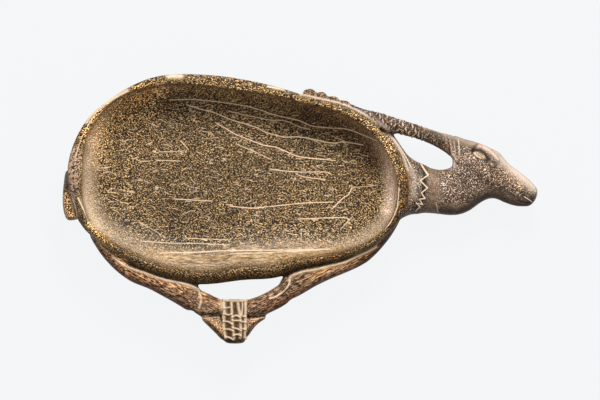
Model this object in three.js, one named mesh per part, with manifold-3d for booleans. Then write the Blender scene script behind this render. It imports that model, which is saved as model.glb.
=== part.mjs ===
// A carved stone cosmetic dish in the form of a trussed ibex lying on its side.
// The animal's body is a shallow oval bowl. Its neck and head lie at one end, its horns
// sweep back to the rim, and its legs are drawn together under a rope lashing.
// Millimetres, +Z up, +X towards the head. The origin is the centre of the resting face.
// "Near" pieces lie on the side that looks up, "far" pieces lie below them.

import * as THREE from "three";
import { mergeVertices } from "three/addons/utils/BufferGeometryUtils.js";
import Module from "manifold-3d";

const wasm = await Module();
wasm.setup();

// Bowl
const BOWL_LENGTH = 119.4;
const BOWL_WIDTH = 73.2;
const BOWL_HEIGHT = 20;
const CAVITY_DEPTH = 15.4;
const RIM_WIDTH = 4;
const BASE_INSET = 21; // from the rim in to the edge of the resting face
const FLOOR_INSET = 17; // from the rim's inner edge in to the flat floor
const RIM_ROUND = 0.5;
const OUTER_FULLNESS = 2.2; // 2 is a round flank, and more is a fuller one
const CAVITY_FULLNESS = 2.5;
const ROUND_THE_BOWL = 96;

// Legs, lashing, neck, horns, ears and tail
const MID_Z = 10.5; // the level between the near and the far limbs
const SEAM = 0.3; // clearance where one carved form meets another
const LEG_REACH = 9.5; // from the rim out to the hock
const LEG_TALL = 3.4; // half the height of an upper leg
const LOWER_LEG = 20; // from the lashing's middle to the knee
const NEAR_TUCK = 3.2; // how far a near leg reaches in under the rim
const FAR_TUCK = 7.5;
const LEG_END_ROUND = 2.2;
const BLUNT_ROUND = 0.6; // on the ends of the other limbs
const SHANK_TALL = 2.8;
const HOOF_TALL = 2.4;
const LASHING_TURN = -91.5; // the angle round the bowl at which the lashing hangs
const LASHING_STANDOFF = 6.2; // from the rim to the lashing
const LASHING_LENGTH = 15.3;
const LASHING_WIDTH = 8.8;
const LASHING_TALL = 6.5;
const NECK_REACH = 15.5; // from the bowl's end to the back of the head
const HEAD_LENGTH = 30;
const HEAD_TALL = 7; // half the height of the neck and head
const COLLAR_FROM_HEAD = 12.3;
const COLLAR_TILT = 8; // degrees
const COLLAR_MIDDLE = -3.7; // to one side of the bowl's long axis
const COLLAR_WIDTH = 2.5;
const COLLAR_RELIEF = 0.25;
const HEAD_FULLNESS = 2.2;
const MUZZLE_ROUND = 2.4;
const HORN_REACH = 5; // from the rim out to the horn's outer edge, where it leaves the bowl
const HORN_ROOT_TALL = 2.2;
const HORN_TIP_TALL = 1.3;
const HORN_RISE = 3.4; // from the head up to where the horn lies on the bowl
const HORN_TIP_ROUND = 0.9;
const HORN_STEPS = 6; // sections between two stations, and every second one is a ring
const HORN_RING_DEPTH = 0.16;
const HORN_KNOBS = 4;
const HORN_KNOB_DEPTH = 0.5;
const KNOBBED_SHARE = 0.27; // of the horn's length, at its tip
const EAR_TALL = 1.1;
const EAR_RELIEF = 0.5; // how far the ear's middle lies above the head's side
const TAIL_REACH = 3.3;
const TAIL_TALL = 5.4;
const TAIL_TUCK = 2.6;

// The rim seen from above, as shares of half the bowl's length and half its width
const RIM_SHAPE = [
  [1.0, -0.1], [0.97, 0.14], [0.86, 0.42], [0.67, 0.65], [0.42, 0.78], [0.14, 0.91], [-0.19, 0.99],
  [-0.49, 0.97], [-0.74, 0.78], [-0.91, 0.51], [-1.0, 0.12], [-0.98, -0.2], [-0.93, -0.44],
  [-0.79, -0.66], [-0.56, -0.89], [-0.25, -1.025], [0.04, -0.985], [0.22, -0.965], [0.38, -0.88],
  [0.66, -0.77], [0.87, -0.56], [0.97, -0.33],
];

// The width of the flat rim, by the angle round the bowl in degrees, as shares of RIM_WIDTH
const RIM_WIDTHS = [
  [-172, 0.85], [-155, 0.7], [-136, 0.97], [-112, 1.15], [-76, 1.1], [-60, 1.02], [-44, 0.93], [-20, 0.55],
  [0, 0.88], [25, 0.7], [60, 0.72], [95, 0.97], [122, 0.93], [148, 0.42], [162, 0.68], [177, 1.25],
];

// What lies along the bowl: the angle round the rim, how far the inner and outer edges stand off
// the rim, and half the height, as shares of the limb's reach and height. Where no inner edge is
// given, the limb is tucked under the rim.
const THIGH = [
  { turn: -159, outer: 0.01, tall: 0.35 },
  { turn: -151, outer: 0.28, tall: 0.71 },
  { turn: -144, outer: 0.45, tall: 0.88 },
  { turn: -136, outer: 0.56, tall: 0.94 },
  { turn: -129, outer: 0.54, tall: 0.97 },
  { turn: -122, outer: 0.66, tall: 1 },
  { turn: -116, outer: 0.81, tall: 1 },
  { turn: -110.8, inner: 0.02, outer: 1, tall: 0.97 },
];
const UPPER_FORELEG = [
  { turn: -66, inner: 0.06, outer: 0.87, tall: 0.97 },
  { turn: -61, inner: -0.11, outer: 0.83, tall: 1 },
  { turn: -55, outer: 0.74, tall: 1 },
  { turn: -47, outer: 0.6, tall: 0.97 },
  { turn: -40, outer: 0.49, tall: 0.94 },
  { turn: -33, outer: 0.42, tall: 0.88 },
  { turn: -26, outer: 0.23, tall: 0.82 },
  { turn: -20, outer: 0.09, tall: 0.65 },
  { turn: -15, outer: 0.03, tall: 0.41 },
];
const TAIL = [
  { turn: 178, outer: 0.12 },
  { turn: 183, outer: 0.48 },
  { turn: 187, outer: 0.82 },
  { turn: 191, outer: 1 },
  { turn: 193.6, outer: 0.97 },
];
const LAID_HORN = [
  { turn: 25, inner: -0.16, outer: 1 },
  { turn: 29, inner: -0.26, outer: 0.52 },
  { turn: 34, inner: -0.2, outer: 0.4 },
  { turn: 39.5, inner: -0.16, outer: 0.44 },
  { turn: 45.5, inner: -0.12, outer: 0.5 },
  { turn: 52, inner: -0.06, outer: 0.5 },
];

// Lower legs and hooves: [upper edge x, y], [lower edge x, y], from the middle of the lashing's
// upper edge, as shares of LOWER_LEG
const HIND_SHANK = [
  [[-0.8, 0.19], [-0.8, -0.11]], [[-0.625, 0.18], [-0.71, -0.22]], [[-0.485, 0.12], [-0.555, -0.3]],
  [[-0.365, 0.06], [-0.38, -0.28]], [[-0.225, 0], [-0.225, -0.27]], [[-0.12, -0.01], [-0.12, -0.27]],
];
const FORE_SHANK = [
  [[0.09, -0.01], [0.09, -0.31]], [[0.215, 0], [0.215, -0.31]], [[0.405, 0.06], [0.405, -0.305]],
  [[0.615, 0.165], [0.65, -0.21]], [[0.79, 0.275], [0.895, -0.08]], [[0.915, 0.34], [1.02, 0.045]],
];
const HIND_HOOF = [
  [[-0.585, -0.315], [-0.565, -0.36]], [[-0.485, -0.315], [-0.46, -0.46]], [[-0.365, -0.31], [-0.32, -0.6]],
  [[-0.225, -0.295], [-0.19, -0.735]], [[-0.1, -0.29], [-0.1, -0.745]],
];
const FORE_HOOF = [
  [[0.09, -0.32], [0.09, -0.73]], [[0.205, -0.32], [0.195, -0.695]], [[0.335, -0.315], [0.3, -0.53]],
  [[0.45, -0.305], [0.425, -0.395]], [[0.565, -0.3], [0.555, -0.325]],
];

// Neck and head: [upper edge x, y], [lower edge x, y], from the back of the head, as shares of
// HEAD_LENGTH, and half the height as a share of HEAD_TALL
const NECK = [
  [[-0.91, 0.677], [-0.863, -0.677], 0.8], [[-0.757, 0.573], [-0.723, -0.56], 0.91],
  [[-0.64, 0.427], [-0.607, -0.477], 0.99], [[-0.513, 0.25], [-0.523, -0.437], 1],
  [[-0.373, 0.167], [-0.43, -0.413], 0.97], [[-0.243, 0.11], [-0.29, -0.407], 0.91],
  [[-0.12, 0.093], [-0.14, -0.423], 0.9], [[0, 0.133], [0, -0.437], 0.94],
  [[0.047, 0.177], [0.047, -0.44], 0.96],
];
const HEAD = [
  [[-0.047, 0.513], [-0.047, -0.437], 0.93], [[0, 0.507], [0, -0.437], 0.94],
  [[0.107, 0.463], [0.093, -0.423], 0.99], [[0.223, 0.433], [0.2, -0.377], 0.97],
  [[0.35, 0.39], [0.303, -0.3], 0.9], [[0.457, 0.34], [0.397, -0.247], 0.83],
  [[0.55, 0.287], [0.49, -0.237], 0.74], [[0.643, 0.17], [0.583, -0.277], 0.67],
  [[0.76, 0.083], [0.677, -0.313], 0.63], [[0.877, -0.01], [0.76, -0.33], 0.57],
  [[0.953, -0.087], [0.837, -0.33], 0.47],
];

// The horn's free stretch, in the same shares: [lower edge x, y], [upper edge x, y]
const FREE_HORN = [
  [[0.037, 0.177], [0.07, 0.467]], [[-0.063, 0.273], [-0.023, 0.507]], [[-0.21, 0.367], [-0.14, 0.533]],
  [[-0.36, 0.433], [-0.303, 0.587]], [[-0.54, 0.487], [-0.49, 0.65]], [[-0.747, 0.54], [-0.677, 0.71]],
];

// The ear, in the same shares: middle x, y, half width
const EAR = [
  [0.053, 0.187, 0.023], [0.03, 0.267, 0.047], [0.003, 0.353, 0.053], [-0.02, 0.433, 0.04],
  [-0.033, 0.487, 0.02],
];

// The rim line

const RIM_SAMPLES = 1440;
const halfRim = new THREE.Vector3(BOWL_LENGTH / 2, BOWL_WIDTH / 2, 0);
const rimPoints = RIM_SHAPE.map(([x, y]) => new THREE.Vector3(x, y, 0).multiply(halfRim));
const rimSamples = new THREE.CatmullRomCurve3(rimPoints, true, "centripetal").getPoints(RIM_SAMPLES)
  .map((p) => ({ angle: Math.atan2(p.y, p.x), radius: Math.hypot(p.x, p.y) }))
  .sort((a, b) => a.angle - b.angle);

function wrap(angle) {
  return Math.atan2(Math.sin(angle), Math.cos(angle));
}

function rimRadius(angle) {
  const turn = wrap(angle);
  const after = rimSamples.findIndex((s) => s.angle >= turn);
  if (after <= 0) return rimSamples[0].radius;
  const [a, b] = [rimSamples[after - 1], rimSamples[after]];
  return THREE.MathUtils.lerp(a.radius, b.radius, (turn - a.angle) / (b.angle - a.angle || 1));
}

function rimPoint(degrees, out, z = 0) {
  const angle = THREE.MathUtils.degToRad(degrees);
  const radius = rimRadius(angle) + out;
  return new THREE.Vector3(radius * Math.cos(angle), radius * Math.sin(angle), z);
}

function rimWidth(angle) {
  const degrees = THREE.MathUtils.radToDeg(wrap(angle));
  const after = RIM_WIDTHS.findIndex(([turn]) => turn > degrees);
  const next = after < 0 ? 0 : after;
  const last = (next + RIM_WIDTHS.length - 1) % RIM_WIDTHS.length;
  const [fromTurn, fromWidth] = RIM_WIDTHS[last];
  const [toTurn, toWidth] = RIM_WIDTHS[next];
  const span = THREE.MathUtils.euclideanModulo(toTurn - fromTurn, 360);
  const share = THREE.MathUtils.euclideanModulo(degrees - fromTurn, 360) / span;
  return RIM_WIDTH * THREE.MathUtils.lerp(fromWidth, toWidth, THREE.MathUtils.smoothstep(share, 0, 1));
}

// Closed skins and solids

const WELD = 1e-5;

// A closed skin over rings of points. The rings run anticlockwise seen from the end.
function loft(rings, startPoint, endPoint) {
  const around = rings[0].length;
  const points = [...rings.flat(), startPoint, endPoint];
  const start = points.length - 2;
  const end = points.length - 1;
  const lastRing = (rings.length - 1) * around;
  const faces = [];
  for (let j = 0; j < around; j += 1) {
    const k = (j + 1) % around;
    faces.push(start, k, j, end, lastRing + j, lastRing + k);
    for (let i = 0; i < rings.length - 1; i += 1) {
      const low = i * around;
      const high = low + around;
      faces.push(low + j, low + k, high + k, low + j, high + k, high + j);
    }
  }
  const geometry = new THREE.BufferGeometry().setFromPoints(points);
  geometry.setIndex(faces);
  return geometry;
}

function solid(geometry) {
  const plain = geometry.clone();
  plain.deleteAttribute("normal");
  plain.deleteAttribute("uv");
  const merged = mergeVertices(plain, WELD);
  const mesh = new wasm.Mesh({
    numProp: 3,
    vertProperties: merged.attributes.position.array,
    triVerts: new Uint32Array(merged.index.array),
  });
  return new wasm.Manifold(mesh);
}

// The same solid without the slivers that a cut may leave beside it
function mainBody(cut) {
  return cut.decompose().sort((a, b) => b.volume() - a.volume())[0];
}

function geometryOf(body) {
  const mesh = body.getMesh();
  const geometry = new THREE.BufferGeometry();
  geometry.setAttribute("position", new THREE.BufferAttribute(new Float32Array(mesh.vertProperties), 3));
  geometry.setIndex(new THREE.BufferAttribute(new Uint32Array(mesh.triVerts), 1));
  geometry.computeVertexNormals();
  return geometry;
}

function smooth(points) {
  return new THREE.CatmullRomCurve3(points);
}

const CAP_ANGLES = [67.5, 45, 22.5].map(THREE.MathUtils.degToRad);

// A limb swept through stations { left, right, z, tall }, the edges seen by someone who travels
// along it. Its squarish oval sections reach from edge to edge. "grow" makes the same limb larger
// all round, to cut its neighbours. "ripple" swells it to both sides and on its outward face,
// which is up (1) or down (-1).
function limb(stations, options = {}) {
  const { steps = 3, sides = 12, square = 2.4, startRound = 0, endRound = 0, grow = 0 } = options;
  const { ripple = () => 0, outward = 1 } = options;
  const lefts = smooth(stations.map((s) => s.left));
  const rights = smooth(stations.map((s) => s.right));
  const levels = smooth(stations.map((s) => new THREE.Vector3(s.z, s.tall, 0)));
  const count = (stations.length - 1) * steps;

  function place(t, along) {
    const [left, right] = [lefts.getPoint(t), rights.getPoint(t)];
    const side = new THREE.Vector3().subVectors(left, right).setZ(0);
    const half = side.length() / 2 + grow;
    side.normalize();
    const forward = new THREE.Vector3(side.y, -side.x, 0);
    const { x: z, y: tall } = levels.getPoint(t);
    const centre = left.add(right).multiplyScalar(0.5).addScaledVector(forward, along).setZ(z);
    return { centre, side, half, tall: tall + grow };
  }

  function section(t, along, scale) {
    const { centre, side, half, tall } = place(t, along);
    return Array.from({ length: sides }, (_, j) => {
      const turn = (j / sides) * 2 * Math.PI;
      const across = Math.sign(Math.cos(turn)) * Math.abs(Math.cos(turn)) ** (2 / square);
      const up = Math.sign(Math.sin(turn)) * Math.abs(Math.sin(turn)) ** (2 / square);
      const swell = outward * Math.max(0, outward * up) * ripple(t);
      const point = centre.clone().addScaledVector(side, across * (half * scale + ripple(t)));
      return point.setZ(centre.z + up * tall * scale + swell);
    });
  }

  // A rounded end, from its tip back to the limb
  function cap(t, length) {
    if (length === 0) return [];
    return CAP_ANGLES.map((a) => section(t, length * Math.sin(a), Math.cos(a)));
  }

  const startLength = startRound > 0 ? -startRound - grow : 0;
  const endLength = endRound > 0 ? endRound + grow : 0;
  const body = Array.from({ length: count + 1 }, (_, i) => section(i / count, 0, 1));
  const rings = [...cap(0, startLength), ...body, ...cap(1, endLength).reverse()];
  return solid(loft(rings, place(0, startLength).centre, place(1, endLength).centre));
}

// The half of space to one side of an upright plane through (x, y), turned by "tilt" degrees
function beyond(x, y, tilt, sign) {
  const size = 4 * BOWL_LENGTH;
  const box = new THREE.BoxGeometry(size, size, size);
  box.translate((sign * size) / 2, 0, 0);
  box.rotateZ(THREE.MathUtils.degToRad(tilt));
  box.translate(x, y, 0);
  return solid(box);
}

// Bowl

// Quarter of a squarish oval: how far it has run in where it has come "drop" of the way down
function runIn(drop, square) {
  return 1 - Math.sqrt(Math.max(0, 1 - drop ** square));
}

function bowlRing(inset, z) {
  return Array.from({ length: ROUND_THE_BOWL }, (_, j) => {
    const angle = (j / ROUND_THE_BOWL) * 2 * Math.PI;
    const radius = rimRadius(angle) - inset(angle);
    return new THREE.Vector3(radius * Math.cos(angle), radius * Math.sin(angle), z);
  });
}

const OUTER_LEVELS = [1, 0.97, 0.88, 0.76, 0.62, 0.45, 0.25];
const CAVITY_LEVELS = [0.12, 0.3, 0.5, 0.68, 0.82, 0.92, 0.98, 1];

function outerRings(grow) {
  return OUTER_LEVELS.map((drop) => {
    const inset = BASE_INSET * runIn(drop, OUTER_FULLNESS) - grow;
    return bowlRing(() => inset, BOWL_HEIGHT * (1 - drop));
  });
}

// The outside of the bowl with no cavity, to cut what lies against it
function bowlBlock(grow) {
  const rings = outerRings(grow);
  rings[0].forEach((p) => p.setZ(-grow));
  rings.push(bowlRing(() => -grow, BOWL_HEIGHT + grow));
  const [bottom, top] = [-grow, BOWL_HEIGHT + grow].map((z) => new THREE.Vector3(0, 0, z));
  return solid(loft(rings, bottom, top));
}

function bowl() {
  const rings = outerRings(0);
  rings.push(bowlRing(() => 0, BOWL_HEIGHT - RIM_ROUND));
  rings.push(bowlRing(() => RIM_ROUND, BOWL_HEIGHT));
  rings.push(bowlRing((a) => rimWidth(a) - RIM_ROUND, BOWL_HEIGHT));
  for (const drop of CAVITY_LEVELS) {
    const run = FLOOR_INSET * runIn(drop, CAVITY_FULLNESS);
    rings.push(bowlRing((a) => rimWidth(a) + run, BOWL_HEIGHT - CAVITY_DEPTH * drop));
  }
  const floor = new THREE.Vector3(0, 0, BOWL_HEIGHT - CAVITY_DEPTH);
  return solid(loft(rings, new THREE.Vector3(0, 0, 0), floor));
}

// Stations of the limbs

// Near limbs stand above the middle level and far limbs below it
const NEAR = { name: "near", up: 1, tuck: NEAR_TUCK };
const FAR = { name: "far", up: -1, tuck: FAR_TUCK };
const MIDDLE = { up: 0, tuck: TAIL_TUCK };

function levelOf(side, tall) {
  return MID_Z + side.up * (tall + SEAM / 2);
}

function alongRim(rows, side, reach, height) {
  return rows.map(({ turn, inner, outer, tall = 1 }) => ({
    left: rimPoint(turn, inner === undefined ? -side.tuck : inner * reach),
    right: rimPoint(turn, outer * reach),
    z: levelOf(side, tall * height), tall: tall * height,
  }));
}

function fromEdges(rows, origin, side, length, height) {
  return rows.map(([a, b, tall = 1]) => ({
    left: new THREE.Vector3(origin.x + a[0] * length, origin.y + a[1] * length, 0),
    right: new THREE.Vector3(origin.x + b[0] * length, origin.y + b[1] * length, 0),
    z: levelOf(side, tall * height), tall: tall * height,
  }));
}

const lashingTop = rimPoint(LASHING_TURN, LASHING_STANDOFF);
const headBack = new THREE.Vector3(BOWL_LENGTH / 2 + NECK_REACH, 0, 0);

// Legs

function upperLeg(rows, side, rounding, grow = 0) {
  return limb(alongRim(rows, side, LEG_REACH, LEG_TALL), { steps: 2, ...rounding, grow });
}

// Shares of the lashing's length, width and height down it
const LASHING_SHAPE = [[0, 0.97, 1], [0.35, 1, 1], [0.7, 0.93, 0.9], [0.96, 0.8, 0.75]];

function lashing(grow = 0) {
  const stations = LASHING_SHAPE.map(([down, wide, tall]) => {
    const half = (wide * LASHING_WIDTH) / 2;
    const y = lashingTop.y - down * LASHING_LENGTH;
    const [left, right] = [half, -half].map((x) => new THREE.Vector3(lashingTop.x + x, y, 0));
    return { left, right, z: MID_Z, tall: tall * LASHING_TALL };
  });
  return limb(stations, { sides: 16, square: 4, endRound: BLUNT_ROUND, grow });
}

// A shank or hoof, cut by the leg that it grows out of and by the lashing that holds it
function lowerLeg(rows, side, tall, upper) {
  const stations = fromEdges(rows, lashingTop, side, LOWER_LEG, tall);
  const whole = limb(stations, { steps: 2, square: 2.6 });
  return mainBody(whole.subtract(upper).subtract(lashing(SEAM)));
}

// Neck, head, horns and ears

function neckTube(grow = 0) {
  return limb(fromEdges(NECK, headBack, MIDDLE, HEAD_LENGTH, HEAD_TALL), { steps: 2, sides: 20, grow });
}

function head(grow = 0) {
  const sweep = { steps: 2, sides: 20, square: HEAD_FULLNESS, endRound: MUZZLE_ROUND, grow };
  const stations = fromEdges(HEAD, headBack, MIDDLE, HEAD_LENGTH, HEAD_TALL);
  return limb(stations, sweep).intersect(beyond(headBack.x - grow, 0, 0, 1));
}

function hornStations(side) {
  const free = fromEdges(FREE_HORN, headBack, side, HEAD_LENGTH, 0);
  const edges = [...free, ...alongRim(LAID_HORN, side, HORN_REACH, 0)];
  return edges.map(({ left, right }, i) => {
    const share = i / (edges.length - 1);
    const tall = THREE.MathUtils.lerp(HORN_ROOT_TALL, HORN_TIP_TALL, share);
    const rise = HORN_RISE * THREE.MathUtils.smoothstep(share, 0.1, 0.6);
    return { left, right, tall, z: levelOf(side, tall) + rise };
  });
}

// The horn is plain at its root, ringed along its free stretch and knobbed at its tip
function hornRipple(t) {
  const sections = HORN_STEPS * (FREE_HORN.length + LAID_HORN.length - 1);
  const knobbed = THREE.MathUtils.smoothstep(t, 1 - 1.2 * KNOBBED_SHARE, 1 - KNOBBED_SHARE);
  const ringed = THREE.MathUtils.smoothstep(t, 0.15, 0.25) - knobbed;
  const rings = HORN_RING_DEPTH * Math.cos(Math.PI * sections * t);
  const knobs = -HORN_KNOB_DEPTH * Math.cos((2 * Math.PI * HORN_KNOBS * (1 - t)) / KNOBBED_SHARE);
  return ringed * rings + knobbed * knobs;
}

function horn(side, grow = 0) {
  const sweep = { steps: HORN_STEPS, sides: 8, square: 2, endRound: HORN_TIP_ROUND, grow };
  const whole = limb(hornStations(side), { ...sweep, ripple: hornRipple, outward: side.up });
  return whole.subtract(beyond(headBack.x, 0, 0, 1)).subtract(bowlBlock(SEAM));
}

// The side of the head stands this far from the middle level where the ear lies
function cheekHeight(y) {
  const [upper, lower, tall] = HEAD[1];
  const middle = (HEAD_LENGTH * (upper[1] + lower[1])) / 2;
  const half = (HEAD_LENGTH * (upper[1] - lower[1])) / 2;
  const across = Math.min(1, Math.abs(y - middle) / half);
  return HEAD_TALL * tall * (1 - across ** HEAD_FULLNESS) ** (1 / HEAD_FULLNESS);
}

function ear(side) {
  const rows = EAR.map((row) => row.map((share) => share * HEAD_LENGTH));
  const stations = rows.map(([x, y, half]) => ({
    left: new THREE.Vector3(headBack.x + x - half, y, 0),
    right: new THREE.Vector3(headBack.x + x + half, y, 0),
    z: MID_Z + side.up * (cheekHeight(y) + EAR_RELIEF), tall: EAR_TALL,
  }));
  const whole = limb(stations, { steps: 2, sides: 8, startRound: BLUNT_ROUND, endRound: BLUNT_ROUND });
  return whole.subtract(head(SEAM)).subtract(horn(side, SEAM));
}

// Model

const model = new THREE.Group();

function add(name, body, color) {
  const material = new THREE.MeshStandardMaterial({ color, roughness: 0.6, metalness: 0 });
  const mesh = new THREE.Mesh(geometryOf(mainBody(body)), material);
  mesh.name = name;
  model.add(mesh);
}

const STONE = 0x4c3d26;
const WARM_STONE = 0x6b4c3a;
const DARK_STONE = 0x43352b;
const block = bowlBlock(SEAM);
const hockEnd = { startRound: BLUNT_ROUND, endRound: LEG_END_ROUND };
const kneeEnd = { startRound: LEG_END_ROUND, endRound: BLUNT_ROUND };
const tailStations = alongRim(TAIL, MIDDLE, TAIL_REACH, TAIL_TALL);
const tail = limb(tailStations, { steps: 2, startRound: BLUNT_ROUND, endRound: BLUNT_ROUND });

add("bowl", bowl(), STONE);
add("tail", tail.subtract(block), WARM_STONE);
add("lashing", lashing(), WARM_STONE);
for (const side of [NEAR, FAR]) {
  const hock = upperLeg(THIGH, side, hockEnd, SEAM);
  const knee = upperLeg(UPPER_FORELEG, side, kneeEnd, SEAM);
  const foreleg = upperLeg(UPPER_FORELEG, side, kneeEnd).subtract(block).subtract(neckTube(SEAM));
  add(`${side.name}_thigh`, upperLeg(THIGH, side, hockEnd).subtract(block), WARM_STONE);
  add(`${side.name}_upper_foreleg`, foreleg, WARM_STONE);
  add(`${side.name}_hind_shank`, lowerLeg(HIND_SHANK, side, SHANK_TALL, hock), WARM_STONE);
  add(`${side.name}_fore_shank`, lowerLeg(FORE_SHANK, side, SHANK_TALL, knee), WARM_STONE);
  add(`${side.name}_hind_hoof`, lowerLeg(HIND_HOOF, side, HOOF_TALL, hock), WARM_STONE);
  add(`${side.name}_fore_hoof`, lowerLeg(FORE_HOOF, side, HOOF_TALL, knee), WARM_STONE);
}

const collarBack = [headBack.x - COLLAR_FROM_HEAD, COLLAR_MIDDLE, -COLLAR_TILT];
const collarFront = [headBack.x - COLLAR_FROM_HEAD + COLLAR_WIDTH, COLLAR_MIDDLE, -COLLAR_TILT];
const tube = neckTube();
const band = neckTube(COLLAR_RELIEF);
const bothHorns = horn(NEAR, SEAM).add(horn(FAR, SEAM));
add("shoulder", tube.intersect(beyond(...collarBack, -1)).subtract(block).subtract(bothHorns), WARM_STONE);
add("collar", band.intersect(beyond(...collarBack, 1)).intersect(beyond(...collarFront, -1)), DARK_STONE);
add("neck", tube.intersect(beyond(...collarFront, 1)).intersect(beyond(headBack.x, 0, 0, -1)), WARM_STONE);
add("head", head(), WARM_STONE);
for (const side of [NEAR, FAR]) {
  add(`${side.name}_horn`, horn(side), DARK_STONE);
  add(`${side.name}_ear`, ear(side), WARM_STONE);
}

export default model;
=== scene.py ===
"""The looks of a carved stone cosmetic dish in the form of a trussed ibex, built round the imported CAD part.

The real dish is one block of stone. Its solids are read from the frame as distance fields, melted
into one skin, smoothed, carved with the fine lines of the original and painted. The stone is then
sawn into one closed piece for each CAD node. The sculpting works in millimetres in the frame's own
axes, and the pieces are turned to metres at the end.
"""

import math

import bmesh
import bpy
import numpy as np
import openvdb
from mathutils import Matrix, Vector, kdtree

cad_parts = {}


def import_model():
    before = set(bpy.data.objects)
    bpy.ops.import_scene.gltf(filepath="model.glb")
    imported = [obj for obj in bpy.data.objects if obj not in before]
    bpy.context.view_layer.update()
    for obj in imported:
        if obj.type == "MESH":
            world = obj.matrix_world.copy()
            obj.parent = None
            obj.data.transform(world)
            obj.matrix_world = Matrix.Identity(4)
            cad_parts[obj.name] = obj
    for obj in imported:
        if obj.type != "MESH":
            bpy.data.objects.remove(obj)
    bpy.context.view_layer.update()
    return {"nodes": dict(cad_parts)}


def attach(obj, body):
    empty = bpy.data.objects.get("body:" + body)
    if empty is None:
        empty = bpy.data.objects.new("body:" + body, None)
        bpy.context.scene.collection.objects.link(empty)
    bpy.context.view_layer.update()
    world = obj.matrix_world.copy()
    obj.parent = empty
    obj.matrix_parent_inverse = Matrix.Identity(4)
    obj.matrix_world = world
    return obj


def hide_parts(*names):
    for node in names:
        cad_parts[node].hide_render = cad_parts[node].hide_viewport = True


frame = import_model()

MM = 0.001
VOXEL = 0.3  # mm
BAND = 10  # voxels on each side of a surface whose distance is known
GRID = openvdb.createLinearTransform(voxelSize=VOXEL)
MARGIN = 3.0  # mm of empty space round the stone

# The photograph looks straight down: its pixels are placed on the frame by its resting point and scale
PHOTO_ORIGIN = (238, 178)
MM_PER_PIXEL = 0.35
PHOTO_SIZE = (600, 400)

RIM_TOP = 20.0  # mm

# Where a stroke is painted: on all stone below or above it, where that looks up, or only near the top
BOTH_SIDES, UP, TOP = 0, 1, 2
TOP_LEVEL = 16.5  # mm


def from_photo(points):
    """Points of the photograph, in pixels, as x and y in mm."""
    px = np.asarray(points, float)
    return np.stack([px[:, 0] - PHOTO_ORIGIN[0], PHOTO_ORIGIN[1] - px[:, 1]], 1) * MM_PER_PIXEL


def smoothstep(x, low, high):
    """0 up to low and 1 from high on, eased between them."""
    t = np.clip((x - low) / (high - low), 0, 1)
    return t * t * (3 - 2 * t)


def values_of(items, key, columns, kind=np.float32):
    """A row of values for each point, edge, corner or face of a mesh."""
    values = np.empty(len(items) * columns, kind)
    items.foreach_get(key, values)
    return values.reshape(-1, columns)


def link(made):
    bpy.context.scene.collection.objects.link(made)
    return made


# Distance fields


def triangles_of(node):
    mesh = frame["nodes"][node].data
    mesh.calc_loop_triangles()
    corners = values_of(mesh.loop_triangles, "vertices", 3, np.int32)
    return values_of(mesh.vertices, "co", 3) / MM, corners


def span(low, high):
    """The voxels from one corner, in mm, to another: the lowest index and the shape."""
    first = np.floor(np.asarray(low) / VOXEL).astype(int)
    last = np.ceil(np.asarray(high) / VOXEL).astype(int)
    return first, last - first + 1


def distance_to(node, first, shape):
    """The signed distance to a CAD node, in mm, over a box of voxels."""
    points, corners = triangles_of(node)
    grid = openvdb.FloatGrid.createLevelSetFromPolygons(
        points, triangles=corners, transform=GRID, halfWidth=BAND)
    field = np.empty(shape, np.float32)
    grid.copyToArray(field, ijk=tuple(int(i) for i in first))
    return field


def blur(field, sigma):
    """The field smoothed by a Gaussian of that width in mm."""
    radius = math.ceil(3 * sigma / VOXEL)
    steps = np.arange(-radius, radius + 1)
    weights = np.exp(-0.5 * (steps * VOXEL / sigma) ** 2)
    weights /= weights.sum()
    for axis in range(3):
        padding = [(radius, radius) if a == axis else (0, 0) for a in range(3)]
        padded = np.moveaxis(np.pad(field, padding, mode="edge"), axis, 0)
        count = field.shape[axis]
        smoothed = sum(np.float32(w) * padded[i:i + count] for i, w in enumerate(weights))
        field = np.moveaxis(smoothed, 0, axis)
    return np.ascontiguousarray(field)


def melt(a, b, reach):
    """The union of two fields, with a fillet where both come within that reach of each other."""
    share = np.clip(0.5 + 0.5 * (b - a) / reach, 0, 1)
    return b + (a - b) * share - reach * share * (1 - share)


def keep_inside(a, b, reach):
    """The common part of two fields, with its edges eased."""
    return -melt(-a, -b, reach)


# The stone's box of voxels
all_points = np.concatenate([triangles_of(name)[0] for name in frame["nodes"]])
FIRST, SHAPE = span(all_points.min(0) - MARGIN, all_points.max(0) + MARGIN)


def box_of(low, high):
    """The voxels from one corner, in mm, to another: the lowest index, the shape and the stone's slices."""
    first, shape = span(low, high)
    return first, shape, tuple(slice(a, a + n) for a, n in zip(first - FIRST, shape))


def axis_values(axis):
    values = (FIRST[axis] + np.arange(SHAPE[axis])) * VOXEL
    return values.astype(np.float32).reshape([-1 if a == axis else 1 for a in range(3)])


X, Y, Z = (axis_values(a) for a in range(3))

# The bowl

WALL_LEVEL = 17.0  # mm: the walls are read here, and carried straight up from it to the rim
WALL_ANGLES = 720
WALL_RADII = np.arange(15, 75, 0.1)  # mm from the middle: every wall lies between these
BOWL_BLUR = 1.0  # mm
BOWL_SWELL = 0.17  # mm: makes up for what the blur takes off
RIM_EASE = 0.8  # mm
RIM_DOME = 0.3  # mm: how far the rim's outer edge falls
LOW_SIDE_DOME = 4.2  # mm: and how much further on the side of the legs
DOME_POWER = 2.6
INNER_DOME = 1.0  # mm: how far the inner edge falls on that side
INNER_DOME_POWER = 3
LOW_SIDE_TURN, LOW_SIDE_FULL = 0.15, 0.7  # radians, and the sine at which that side is reached

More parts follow.
